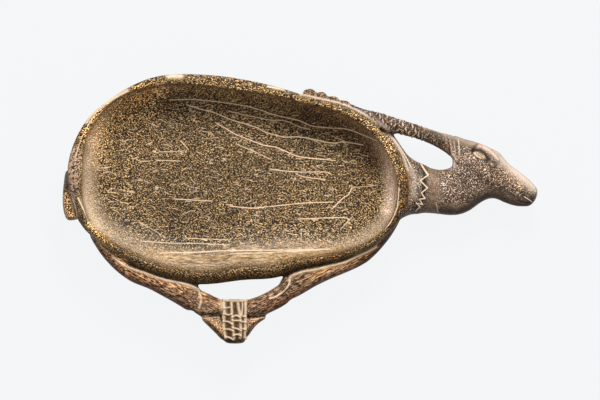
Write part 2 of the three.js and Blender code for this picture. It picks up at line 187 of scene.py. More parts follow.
# Chips in the rim's outer edge: the middle in the photograph, the length and the size in mm
CHIP_CORE, CHIP_END = 0.3, 0.6  # shares of the length: full depth up to the first, none from the second
CHIP_START = 1.0  # mm: how far outside the rim's edge the slanted cut starts
CHIP_GAIN = 2  # how far it moves in for each mm of a chip's size
CHIP_EASE = 0.3  # mm
CHIPS = [
    ((175, 76), 3.5, 0.8), ((118, 93), 9.0, 0.7), ((104, 102), 5.0, 0.6), ((88, 117), 7.0, 0.4),
    ((277, 87), 5.0, 0.5), ((66, 176), 4.0, 0.3), ((248, 80), 3.0, 0.3), ((140, 82), 4.0, 0.3),
]


def wall_radii(level):
    """The inner and outer wall's distance from the middle, at one level, by the angle."""
    angles = np.linspace(-math.pi, math.pi, WALL_ANGLES, endpoint=False)
    x = np.cos(angles)[:, None] * WALL_RADII / VOXEL - FIRST[0]
    y = np.sin(angles)[:, None] * WALL_RADII / VOXEL - FIRST[1]
    i, j = np.clip(x.astype(int), 0, SHAPE[0] - 2), np.clip(y.astype(int), 0, SHAPE[1] - 2)
    u, v = np.clip(x - i, 0, 1), np.clip(y - j, 0, 1)
    value = ((level[i, j] * (1 - u) + level[i + 1, j] * u) * (1 - v)
             + (level[i, j + 1] * (1 - u) + level[i + 1, j + 1] * u) * v)
    stone = value < 0
    inner = WALL_RADII[stone.argmax(1)]
    outer = WALL_RADII[::-1][stone[:, ::-1].argmax(1)]
    return angles, inner, outer


def round_the_bowl(x, y, walls):
    """The angle, the distances inside the rim's inner edge and outside its outer one, and the share
    of the way across the rim."""
    angles, inner, outer = walls
    angle = np.arctan2(y, x)
    radius = np.hypot(x, y)
    inside = np.interp(angle, angles, inner, period=2 * math.pi)
    outside = np.interp(angle, angles, outer, period=2 * math.pi)
    return angle, inside - radius, radius - outside, (radius - inside) / (outside - inside)


def low_side_share(angle):
    """1 where the rim runs above the legs, and 0 on the horns' side."""
    return smoothstep(-np.sin(angle + LOW_SIDE_TURN), 0, LOW_SIDE_FULL)


def bowl_field():
    """The bowl's distance field with its rim rounded and chipped, and its wall radii."""
    field = distance_to("bowl", FIRST, SHAPE)
    level = round(WALL_LEVEL / VOXEL) - FIRST[2]
    field[:, :, level:] = field[:, :, level:level + 1]
    field = blur(field, BOWL_BLUR) - np.float32(BOWL_SWELL)
    walls = wall_radii(field[:, :, level])
    angle, _, past, across = round_the_bowl(X, Y, walls)
    low_side = low_side_share(angle)
    outward = np.clip(across, 0, 1)
    top = RIM_TOP - (RIM_DOME + LOW_SIDE_DOME * low_side) * outward ** DOME_POWER
    top -= INNER_DOME * low_side * (1 - outward) ** INNER_DOME_POWER
    field = keep_inside(field, Z - top.astype(np.float32), RIM_EASE)
    for middle, length, size in CHIPS:
        x, y = from_photo([middle])[0]
        away = np.hypot(X - x, Y - y)
        depth = size * (1 - smoothstep(away, CHIP_CORE * length, CHIP_END * length))
        chip = (Z - RIM_TOP + past + CHIP_GAIN * depth - CHIP_START) / math.sqrt(2)
        field = np.where(depth > 0, keep_inside(field, chip.astype(np.float32), CHIP_EASE), field)
    return field, walls


def both(names, *values):
    """A row for the near side and the same row for the far side."""
    return [([side + name for name in names], *values) for side in ("near_", "far_")]


# The limbs: which nodes are joined before smoothing, the smoothing, the swelling that makes up for
# it and the reach of the fillet that joins them to the rest, in mm
LIMBS = [
    (["shoulder", "collar", "neck", "head", "near_horn", "far_horn"], 0.45, 0.1, 1.4),
    *both(["ear"], 0.35, 0.05, 0.5),
    (["tail"], 0.45, 0.25, 1.0),
    *both(["thigh"], 0.7, 0.25, 1.5),
    *both(["upper_foreleg"], 0.7, 0.3, 1.5),
    *both(["hind_shank", "hind_hoof"], 0.45, 0.12, 1.0),
    *both(["fore_shank", "fore_hoof"], 0.45, 0.12, 1.0),
    (["lashing"], 0.4, 0.1, 0.7),
]
OWNERS = ["bowl"] + [name for names, *_ in LIMBS for name in names]
BULGE = {"lashing": 0.8}  # mm: how far a node's carving may stand over its neighbours

# The knobs at the horns' ends, on the bowl's flank: the middle in the photograph and the radius in mm
KNOBS = [((309.8, 94.3), 1.95), ((321.5, 97.2), 1.9), ((334, 101.4), 1.8), ((345.5, 105.2), 1.6)]
KNOB_LEVELS = (14.2, 6.8)  # mm: of the near and of the far horn
KNOB_BOX = 4.0  # mm
KNOB_FILLET = 0.9  # mm


def stone_field():
    """The whole stone's distance field, the node nearest to each voxel with its distance and the
    second nearest's, and the bowl's wall radii."""
    stone, walls = bowl_field()
    owner = np.zeros(SHAPE, np.uint8)
    nearest = distance_to("bowl", FIRST, SHAPE)
    second = np.full(SHAPE, BAND * VOXEL, np.float32)
    for names, sigma, swell, reach in LIMBS:
        points = np.concatenate([triangles_of(name)[0] for name in names])
        first, shape, box = box_of(points.min(0) - MARGIN, points.max(0) + MARGIN)
        fields = [distance_to(name, first, shape) for name in names]
        for name, field in zip(names, fields):
            field = field - np.float32(BULGE.get(name, 0))
            second[box] = np.minimum(second[box], np.maximum(nearest[box], field))
            owner[box] = np.where(field < nearest[box], OWNERS.index(name), owner[box])
            nearest[box] = np.minimum(nearest[box], field)
        limb = blur(np.min(fields, axis=0), sigma) - np.float32(swell)
        stone[box] = melt(stone[box], limb, reach)
    for middle, radius in KNOBS:
        x, y = from_photo([middle])[0]
        for z in KNOB_LEVELS:
            place = np.array([x, y, z])
            box = box_of(place - KNOB_BOX, place + KNOB_BOX)[2]
            ball = np.sqrt((X[box[0]] - x) ** 2 + (Y[:, box[1]] - y) ** 2 + (Z[:, :, box[2]] - z) ** 2)
            stone[box] = melt(stone[box], ball - np.float32(radius), KNOB_FILLET)
    return stone, owner, nearest, second, walls


# The skin


def smooth_line(points, step=0.5):
    """A smooth line in mm through points of the photograph."""
    line = from_photo(points)
    if len(line) == 2:
        return line
    padded = np.concatenate([[2 * line[0] - line[1]], line, [2 * line[-1] - line[-2]]])
    smooth = []
    for a, b, c, d in zip(padded, padded[1:], padded[2:], padded[3:]):
        count = max(1, round(math.dist(b, c) / step))
        for t in np.arange(count) / count:
            smooth.append(0.5 * (2 * b + (c - a) * t + (2 * a - 5 * b + 4 * c - d) * t ** 2
                                 + (3 * b - a - 3 * c + d) * t ** 3))
    return np.array([*smooth, line[-1]])


# A thin line is painted by its signed distance, in widths of the line, so it stays crisp between points
LINE_REACH = 0.75  # mm
INK_MARGIN = 0.25  # mm
THINNEST = 0.1  # mm

STROKE_REACH = 3  # widths: how far a stroke's soft edges go
STROKE_LEVEL = (0.02, 0.35)  # how far the stone has to look up or down for a stroke to show
FINE_WIDTH = 0.4  # mm: the mesh is divided along lines thinner than this


def surface_of(name, field, first, stride=1):
    """The mesh in mm of a field's surface, whose faces look out of it."""
    size = VOXEL * stride
    grid = openvdb.FloatGrid(background=float(field.max()))
    grid.copyFromArray(field)
    grid.transform = openvdb.createLinearTransform(
        [[size, 0, 0, 0], [0, size, 0, 0], [0, 0, size, 0], [*(first * VOXEL), 1]])
    points, quads = grid.convertToQuads(isovalue=0)
    a, b, c = (points[quads[:, i]].astype(float) for i in range(3))
    volume = np.einsum("ij,ij->i", a, np.cross(b - a, c - a)).sum()
    mesh = bpy.data.meshes.new(name)
    mesh.from_pydata(points.tolist(), [], (quads[:, ::-1] if volume < 0 else quads).tolist())
    return mesh


class Skin:
    """The stone's surface as a mesh, with the node that each point belongs to and its paint."""

    def __init__(self, stone, owner):
        self.mesh = surface_of("carved_skin", stone, FIRST)
        self.voxel_owner = owner
        self.read()

    def read(self):
        self.points = values_of(self.mesh.vertices, "co", 3).astype(np.float64)
        self.edges = values_of(self.mesh.edges, "vertices", 2, np.int32)
        place = np.clip(np.round(self.points / VOXEL).astype(int) - FIRST, 0, SHAPE - 1)
        self.owner = self.voxel_owner[tuple(place.T)]
        self.pale, self.dark, self.relief, self.ink = np.zeros((4, len(self.points)))
        self.beside = np.full(len(self.points), LINE_REACH / THINNEST)
        self.measure_normals()

    def measure_normals(self):
        self.mesh.vertices.foreach_set("co", self.points.astype(np.float32).ravel())
        self.mesh.update()
        self.normals = values_of(self.mesh.vertex_normals, "vector", 3).astype(np.float64)

    def mean_of_neighbours(self, values):
        """The mean of a value over the points that share an edge with each point."""
        a, b = self.edges.T
        size = len(self.points)
        count = np.bincount(a, minlength=size) + np.bincount(b, minlength=size)
        flat = values.reshape(size, -1)
        total = [np.bincount(a, column[b], size) + np.bincount(b, column[a], size) for column in flat.T]
        return (np.stack(total, 1) / count[:, None]).reshape(values.shape)

    def smooth(self, weight, rounds):
        for _ in range(rounds):
            shift = self.mean_of_neighbours(self.points) - self.points
            self.points += weight[:, None] * shift
        self.measure_normals()

    def soften(self, values, rounds):
        for _ in range(rounds):
            values = 0.5 * values + 0.5 * self.mean_of_neighbours(values)
        return values

    def belongs_to(self, names):
        return np.isin(self.owner, [OWNERS.index(name) for name in names])

    def share_of(self, *names, rounds=3):
        """How much of each point belongs to these nodes, eased over their edges."""
        return self.soften(self.belongs_to(names).astype(float), rounds)

    def near_line(self, line, reach, names=(), side=BOTH_SIDES):
        """The points within reach of a line seen from above, and how far each is to its left."""
        x, y = self.points[:, 0], self.points[:, 1]
        low, high = line.min(0) - reach, line.max(0) + reach
        found = (x > low[0]) & (x < high[0]) & (y > low[1]) & (y < high[1])
        if names:
            found &= self.belongs_to(names)
        if side == UP:
            found &= self.normals[:, 2] > 0
        if side == TOP:
            found &= self.points[:, 2] > TOP_LEVEL
        found = np.flatnonzero(found)
        place = self.points[found, :2]
        beside = np.full(len(found), np.inf)
        for start, end in zip(line[:-1], line[1:]):
            run = end - start
            share = np.clip((place - start) @ run / (run @ run), 0, 1)
            off = place - start - share[:, None] * run
            away = np.hypot(*off.T) * np.sign(run[0] * off[:, 1] - run[1] * off[:, 0])
            beside = np.where(np.abs(away) < np.abs(beside), away, beside)
        near = np.abs(beside) < reach
        return found[near], beside[near]

    def refine(self, chosen):
        """Divides the faces that have a chosen point."""
        corners = values_of(self.mesh.loops, "vertex_index", 1, np.int32).reshape(-1, 4)
        faces = np.flatnonzero(chosen[corners].any(1))
        work = bmesh.new()
        work.from_mesh(self.mesh)
        work.faces.ensure_lookup_table()
        edges = {edge for i in faces for edge in work.faces[i].edges}
        bmesh.ops.subdivide_edges(work, edges=list(edges), cuts=1, use_grid_fill=True)
        work.to_mesh(self.mesh)
        work.free()
        self.read()

    def carve(self, stroke):
        line, width, depth, pale, dark, ink, names, side = stroke
        found, beside = self.near_line(line, max(STROKE_REACH * width, LINE_REACH), names, side)
        level = smoothstep(np.abs(self.normals[found, 2]), *STROKE_LEVEL)
        strength = np.exp(-((beside / width) ** 2)) * level
        self.relief[found] -= depth * strength
        self.pale[found] = np.maximum(self.pale[found], pale * strength)
        self.dark[found] = np.maximum(self.dark[found], dark * strength)
        if ink:
            closest = np.abs(beside / width) < np.abs(self.beside[found])
            found, beside, level = found[closest], beside[closest], level[closest]
            self.beside[found] = beside / width
            self.ink[found] = ink * level * (np.abs(beside) < width + INK_MARGIN)

    def apply_relief(self):
        self.points += self.normals * self.relief[:, None]
        self.relief[:] = 0
        self.measure_normals()


# Carving

strokes = []


def stroke(points, width, depth=0.0, pale=0.0, dark=0.0, ink=0.0, names=(), side=BOTH_SIDES):
    """A line cut in (depth over 0) or raised (under 0), in mm. It is painted pale or dark with soft
    edges, or inked as a crisp line that is pale (ink over 0) or dark (under 0)."""
    strokes.append((smooth_line(points), width, depth, pale, dark, ink, names, side))


# The bowl's scratches in the photograph: the points, and how strong the line is
SCRATCH_WIDTH, SCRATCH_GAIN = 0.09, 0.11  # mm: of the faintest line, and how much wider the strongest is
SCRATCH_DEPTH = 0.06  # mm
SCRATCHES = [
    ([(170, 100), (190, 99.5), (210, 101), (230, 103.5), (245, 106), (260, 110), (275, 115),
      (290, 118.5), (300, 121), (312, 126), (330, 128), (345, 129), (358, 133), (377, 141)], 0.85),
    ([(187, 105), (200, 109), (215, 113), (232, 120), (255, 127), (265, 132), (275, 135), (285, 137),
      (300, 137), (315, 139.5), (325, 142), (335, 143), (345, 142), (363, 145)], 1.0),
    ([(217, 124), (225, 128), (235, 134), (245, 138), (255, 142), (265, 145.5), (275, 147),
      (285, 151), (297, 156), (310, 158), (335, 160.5)], 0.9),
    ([(228, 111), (240, 114), (255, 117), (270, 120), (285, 121), (300, 127), (310, 129.5)], 0.7),
    ([(236, 144), (255, 152), (271, 159.5)], 0.6),
    ([(270, 169), (285, 171), (300, 172), (325, 172), (331, 174)], 0.8),
    ([(296, 174), (305, 177), (325, 179.5)], 0.7),
    ([(332, 136), (345, 141.5)], 0.5),
    ([(174, 199), (212, 201)], 0.75),
    ([(230, 206), (251, 208), (275, 206), (305, 203), (333, 202)], 0.9),
    ([(298, 219), (340, 217.5), (349, 219)], 0.85),
    ([(332, 209), (343, 198), (348, 195), (352, 188)], 0.9),
    ([(352, 187), (360, 187), (378, 185)], 0.5),
    ([(342, 228), (352, 217)], 0.6),
    ([(140, 241), (170, 243), (200, 243.5), (230, 245)], 0.6),
    ([(160, 253), (200, 252), (230, 250.5), (290, 250), (330, 249)], 1.0),
    ([(186, 238), (230, 240)], 0.6),
    ([(230, 254), (280, 252), (320, 250)], 0.6),
    ([(181, 141), (188, 149)], 0.7),
    ([(160, 152), (183, 151)], 0.5),
    ([(135, 158), (140, 161), (150, 161)], 0.6),
    ([(156, 160), (180, 161)], 0.6),
    ([(104, 173), (110, 172), (116, 175)], 0.5),
    ([(95, 168), (108, 168)], 0.5),
    ([(140, 222), (165, 237)], 0.4),
]
for points, strength in SCRATCHES:
    width, ink = SCRATCH_WIDTH + SCRATCH_GAIN * strength, min(1, 0.4 + 0.7 * strength)
    stroke(points, width, SCRATCH_DEPTH * strength, ink=ink, names=("bowl",), side=UP)

# Short scratches scattered over the bowl's floor, in pixels of the photograph and in degrees
DASHES, DASH_SEED = 460, 11
DASH_WIDTH = 0.11  # mm
DASH_HALVES, DASH_INKS = (0.5, 3.0), (0.45, 1.0)
DASH_LEAN, DASH_SPREAD = 4, 16
FLOOR_MIDDLE, FLOOR_REACH = np.array([238, 174]), np.array([146, 76])
chance = np.random.default_rng(DASH_SEED)
for _ in range(DASHES):
    turn, reach = chance.uniform(0, 2 * math.pi), math.sqrt(chance.uniform(0, 1))
    middle = FLOOR_MIDDLE + FLOOR_REACH * reach * np.array([math.cos(turn), math.sin(turn)])
    half = chance.uniform(*DASH_HALVES)
    lean = math.radians(chance.normal(DASH_LEAN, DASH_SPREAD))
    run = half * np.array([math.cos(lean), math.sin(lean)])
    ink = chance.uniform(*DASH_INKS)
    stroke([middle - run, middle + run], DASH_WIDTH, ink=ink, names=("bowl",), side=UP)

# Strokes hatched across the rim near the neck, in pixels of the photograph
HATCHES = 8
HATCH_START, HATCH_STEP, HATCH_RUN = (np.array(p) for p in ((376, 246), (3.4, -3.4), (3.6, -4.4)))
for i in range(HATCHES):
    start = HATCH_START + i * HATCH_STEP
    stroke([start, start + HATCH_RUN], 0.2, 0.2, ink=0.4, side=UP)

# Painted highlights along the rim's sharp inner edges, and chipped edges
ARRIS_HIGHLIGHTS = [
    ([(78, 198), (85, 212), (93, 227)], 0.32),
    ([(399, 188), (398, 200), (397, 208), (390, 223), (380, 233)], 0.2),
    ([(75.5, 158), (79, 145), (85, 131), (98, 109)], 0.14),
]
for points, width in ARRIS_HIGHLIGHTS:
    stroke(points, width, ink=1.0, names=("bowl",), side=TOP)
CHIPPED_EDGES = [
    ([(86, 123), (92, 115), (99, 108)], 0.4),
    ([(99, 108), (106, 102.5), (114, 98), (121, 94), (127, 91)], 0.7),
    ([(168, 76), (174, 76), (181, 76)], 0.9),
    ([(268, 86.5), (276, 88), (284, 90)], 0.35),
    ([(65, 178), (64, 184), (63.5, 192)], 0.4),
]
for points, width in CHIPPED_EDGES:
    stroke(points, width, pale=1.0, side=TOP)

# The pale ledge between the rim and the horns, with a painted highlight along its edge
stroke([(300, 94), (320, 98.5), (340, 103), (355, 109), (370, 118), (384, 129), (395, 142), (403, 156),
        (408, 170)], 0.36, pale=0.75)
stroke([(378, 122), (386, 129), (393, 137)], 0.8, pale=0.55)
stroke([(384, 127), (394, 139), (404, 154), (411, 167)], 0.22, -0.12, ink=0.9)
stroke([(411, 168), (414.5, 180), (414, 196)], 1.0, pale=0.35)

# Legs and tail
THIGH_RIDGE = [(114, 257), (119, 262), (125, 266), (135, 270), (145, 273), (155, 277),
               (165, 280), (175, 282), (185, 284), (193, 287), (198, 290), (201, 300), (199, 308)]
FORELEG_RIDGE = [(376, 247), (366, 252.5), (358, 256), (350, 260), (345, 262.5), (335, 265), (325, 267.5),
                 (315, 270), (305, 271.5), (297, 274), (291, 277), (289, 281)]
# The legs' ridges are raised, with a painted highlight along them
for ridge in (THIGH_RIDGE, FORELEG_RIDGE):
    stroke(ridge, 0.5, -0.35, pale=0.62)
    stroke(ridge, 0.12, ink=0.35)
# A painted highlight round the foreleg's knee
stroke([(290, 281), (289, 284), (286, 289), (280, 294), (275, 297), (270, 298.5)], 0.3, -0.15, ink=0.95)
# The grooves by the rim, cut in and darkened as painted shade
THIGH_GROOVE = [(130, 264), (142, 269), (155, 273), (168, 276.5), (182, 279.5), (192, 282), (199, 286)]
FORELEG_GROOVE = [(381, 240), (370, 248), (360, 254), (350, 257.5), (338, 261), (325, 263.5), (310, 266.5),
                  (298, 269.5), (289, 273.5), (283, 277.5)]
for groove in (THIGH_GROOVE, FORELEG_GROOVE):
    stroke(groove, 0.6, 0.2, dark=0.6)
# Grooves round the shanks and the hooves, cut in and darkened as painted shade
LEG_GROOVES = [
    [(202, 314.5), (214, 314.5), (222, 312.5)], [(207, 322), (215, 329), (223, 338)],
    [(246, 317), (256, 317), (266, 316)], [(247, 335), (252, 326), (262, 319)],
    [(208, 296.5), (214, 299), (221, 301.5)],
]
for groove in LEG_GROOVES:
    stroke(groove, 0.4, 0.25, dark=0.95)
PALE_LEG_LINES = [
    [(202, 291.5), (212, 295), (222, 299)],
    [(203, 318.5), (210, 318), (219, 317)], [(100, 244), (104, 249), (107, 255)],
    [(108, 250), (113, 257), (119, 262)], [(247, 319.5), (254, 319.5), (265, 317.5)],
    [(160, 288), (175, 295)],
    [(310, 276), (298, 282)], [(332, 271), (318, 277), (308, 283)], [(340, 268), (326, 272)],
]
for line in PALE_LEG_LINES:
    stroke(line, 0.15, -0.06, ink=0.5)
# Painted shade on the legs' lower flanks and under the shanks
SHADED_FLANKS = [
    ([(108, 262), (125, 278), (150, 289), (175, 302), (198, 316)], 1.1, 0.6),
    ([(392, 235), (380, 248), (362, 265), (345, 273), (325, 281), (300, 294.5), (270, 310.5)], 1.1, 0.6),
    ([(204, 313), (222, 312)], 1.0, 0.6), ([(248, 315), (268, 311)], 1.0, 0.6),
    ([(206, 322), (214, 331), (224, 340.5)], 0.6, 0.5), ([(264, 318.5), (252, 330), (245, 340)], 0.5, 0.5),
    ([(250, 323), (253.5, 325.5)], 0.4, 0.9),
]
for points, width, dark in SHADED_FLANKS:
    stroke(points, width, dark=dark)
TAIL_LINES = [
    [(69.5, 198), (72, 205), (73.5, 212), (75, 219.5)], [(72.5, 198), (75, 206), (76.5, 213), (77, 219)],
]
for line in TAIL_LINES:
    stroke(line, 0.22, 0.15, ink=0.85)
# Painted shadow under the tail's lower end
stroke([(64, 218.5), (70, 220.5), (76, 219)], 0.6, dark=0.9)
stroke([(79, 205), (86, 220), (100, 243)], 0.9, 0.1, dark=0.2)

# The lashing: its upright cords, the rungs across them, and the ground between them, sunk and darkened as
# painted shade
CORDS = [
    ([(223.4, 301.5), (223.6, 308), (223.4, 320), (223.6, 330), (225.4, 338)], 0.5),
    ([(231, 301.5), (231.6, 310), (232, 320), (233, 331), (233.8, 338.5)], 0.52),
    ([(237.9, 301.5), (238.6, 308), (240.2, 317), (240.8, 330), (240.4, 338)], 0.55),
    ([(242.6, 301.5), (242.6, 308), (242, 315)], 0.3),
    ([(245.8, 301.5), (245.8, 315), (245.6, 330), (245.2, 338)], 0.45),
]
RUNGS = [
    [(224, 313.8), (228, 315), (232, 314.4)], [(224, 321.6), (228, 322), (232.4, 324.6)],
    [(224, 329.8), (228, 329.4), (233, 331)], [(225, 337), (229, 337.8), (233.6, 340.4)],
    [(232, 317.6), (236, 315.6), (240, 317.8)], [(232.4, 320.6), (240.6, 321)],
    [(233, 328), (237, 329), (241, 331)], [(233.6, 335.6), (237, 334.6), (241, 336)],
    [(241, 316), (245.6, 317)], [(241, 321.6), (245.6, 322.4)], [(241, 328.6), (245.6, 329.8)],
    [(223, 300.6), (235, 301), (247, 300.8)], [(224, 308.4), (229, 307.6)],
]
LASHING_SINK = 0.5  # mm: how deep the ground between the cords lies
LASHING_LEVEL = (0.3, 0.8)  # how far the ground has to look up or down to lie lower
LASHING_SHADE = 0.8
for cord, width in CORDS:
    stroke(cord, width, -0.7, pale=0.45, ink=0.75, names=("lashing",))
for rung in RUNGS:
    stroke(rung, 0.32, -0.5, pale=0.3, ink=0.75, names=("lashing",))
stroke([(222, 300), (222.6, 307), (223.4, 313)], 1.0, pale=0.6)
# Painted shade along the lashing's lower edge
stroke([(226, 341), (232, 342.5), (239, 341)], 0.9, dark=1.0)

# The collar: its edges, from the horns' side to the throat, and the zigzag between them
COLLAR_MIDDLE = [(422.7, 165), (425, 175), (424.3, 184), (423.3, 194), (420, 203), (416, 211.5)]
ZIGZAG = [(420.7, 163.1), (428.2, 175), (420.3, 180.6), (427.6, 188), (421.5, 193), (425, 198.6),
          (419.5, 199.5), (422.5, 204.6), (416.4, 203.6), (420, 207), (415.8, 211.4)]
stroke(COLLAR_MIDDLE, 1.2, 0.2, dark=1.0)
for start, end in zip(ZIGZAG, ZIGZAG[1:]):
    stroke([start, end], 0.24, -0.12, ink=1.0)
stroke(ZIGZAG[:2], 0.32, -0.12, ink=1.0)

# The head: the socket, the ball, the brow and the lids of the eye, and the hollow beside it. The brow's pale
# strokes are painted highlights, and the lids and the hollow are darkened as painted shade
stroke([(474, 151), (480, 154), (487, 158)], 1.5, 0.55)
stroke([(476, 153), (480, 155), (484.5, 157.2)], 0.75, -0.65, pale=0.25)
stroke([(483, 147.4), (488, 150.4), (493, 154.6), (498, 160)], 0.55, -0.6, pale=0.85)
stroke([(478, 145), (481.5, 147.6)], 0.4, -0.3, pale=0.5)
stroke([(473, 150.6), (475, 146), (477, 144)], 0.5, 0.5, dark=1.0, ink=-0.6)
stroke([(474.6, 149), (480, 149.4), (485, 152.6), (489, 158)], 0.5, 0.65, dark=1.0, ink=-0.6)
stroke([(487.5, 156), (491.5, 160.6), (495.6, 166)], 0.9, 0.3, dark=0.8)
stroke([(472.2, 151.5), (474.8, 155.8), (479.5, 158.9), (484.5, 160.2), (489.6, 159.4)], 0.2, 0.3, dark=0.5,
       ink=-0.5)
stroke([(474, 152.4), (476.5, 155.6), (480.5, 157.8)], 0.32, ink=0.8)
stroke([(488.6, 163.2), (490.4, 166.8), (494.2, 168), (496.6, 165.6), (495.4, 162)], 0.3, 0.35, dark=0.8)
stroke([(491, 163), (493.6, 165)], 0.4, -0.2, pale=0.3)

# The muzzle: the nostril, its pale line and the mouth
stroke([(523, 193.6), (527, 198.4), (533, 202.4)], 1.2, 0.35, dark=0.8)
stroke([(526, 192), (530, 195.5), (534, 197.5)], 0.7, 0.1, dark=0.55)
stroke([(524.7, 197), (528.5, 199.6), (532.8, 202.7)], 0.2, -0.15, ink=1.0)
stroke([(533.5, 203.5), (526, 203), (518, 201)], 0.24, 0.25, ink=-0.8)

# The horns' roots and the fold of the neck
for x, lean in ((447.5, 2.0), (451, 2.5), (454.6, 2.5)):
    stroke([(x - lean, 134), (x, 146), (x + 1, 157)], 0.4, -0.15, pale=0.2)
for x in (449.3, 453, 456.6):
    stroke([(x - 2, 135), (x, 147), (x + 0.6, 159)], 0.3, 0.12, dark=0.5)
stroke([(458.4, 140), (459.2, 149), (458.8, 158)], 0.2, ink=0.65)
stroke([(436.4, 204), (437.4, 208.5), (438, 212)], 0.25, 0.1, ink=0.5)

# Broad soft tones: the points, the width, and how pale or dark. Most are painted light: painted highlights
# on the brow, the nose, the rim's lower left edge, the horn's top edge and the bevel by the neck, and painted
# shade along the jaw, under the horns and round the eye
LIGHT_AND_SHADE_TONES = [
    ([(477, 142), (488, 146.5), (500, 153)], 1.3, 0.7, 0.0),
    ([(84, 200), (90, 215), (98, 227)], 1.5, 0.4, 0.0),
    ([(490, 149), (498, 155)], 1.4, 0.5, 0.0),
    ([(503, 158), (512, 167), (524, 177), (534, 186)], 2.0, 0.95, 0.0),
    ([(528, 184), (533, 187.5), (536, 190)], 1.1, 0.7, 0.0),
    ([(446, 134), (460, 138.5), (474, 142)], 1.0, 0.4, 0.0),
    ([(452, 168), (454.5, 162), (453, 156)], 0.9, 0.7, 0.0),
    ([(441, 212), (455, 212.8), (467, 209.5), (479, 201.5), (488, 196.5)], 1.1, 0.0, 0.8),
    ([(496, 198), (508, 203.5), (520, 205.5), (530, 205)], 0.9, 0.0, 0.8),
    ([(468, 166), (476, 172), (484, 179), (492, 184)], 1.9, 0.0, 0.6),
    ([(492, 183), (506, 190), (518, 196)], 1.6, 0.0, 0.35),
    ([(484, 160.5), (489, 162)], 0.8, 0.0, 0.6),
    ([(487, 153), (493, 159)], 0.5, 0.0, 0.6),
    ([(460, 150), (466, 158), (474, 166)], 1.8, 0.0, 0.35),
    ([(486, 162), (496, 172), (508, 182)], 1.4, 0.0, 0.3),
    ([(425, 134), (436, 138), (446, 145)], 1.3, 0.0, 0.5),
    ([(400, 137), (415, 140), (430, 146), (444, 157)], 0.7, 0.0, 0.6),
    ([(370, 118), (384, 127), (396, 134)], 0.7, 0.0, 0.8),
    ([(424, 127), (436, 130.5), (446, 134)], 0.5, 0.5, 0.0),
]
for points, width, pale, dark in LIGHT_AND_SHADE_TONES:
    stroke(points, width, pale=pale, dark=dark)

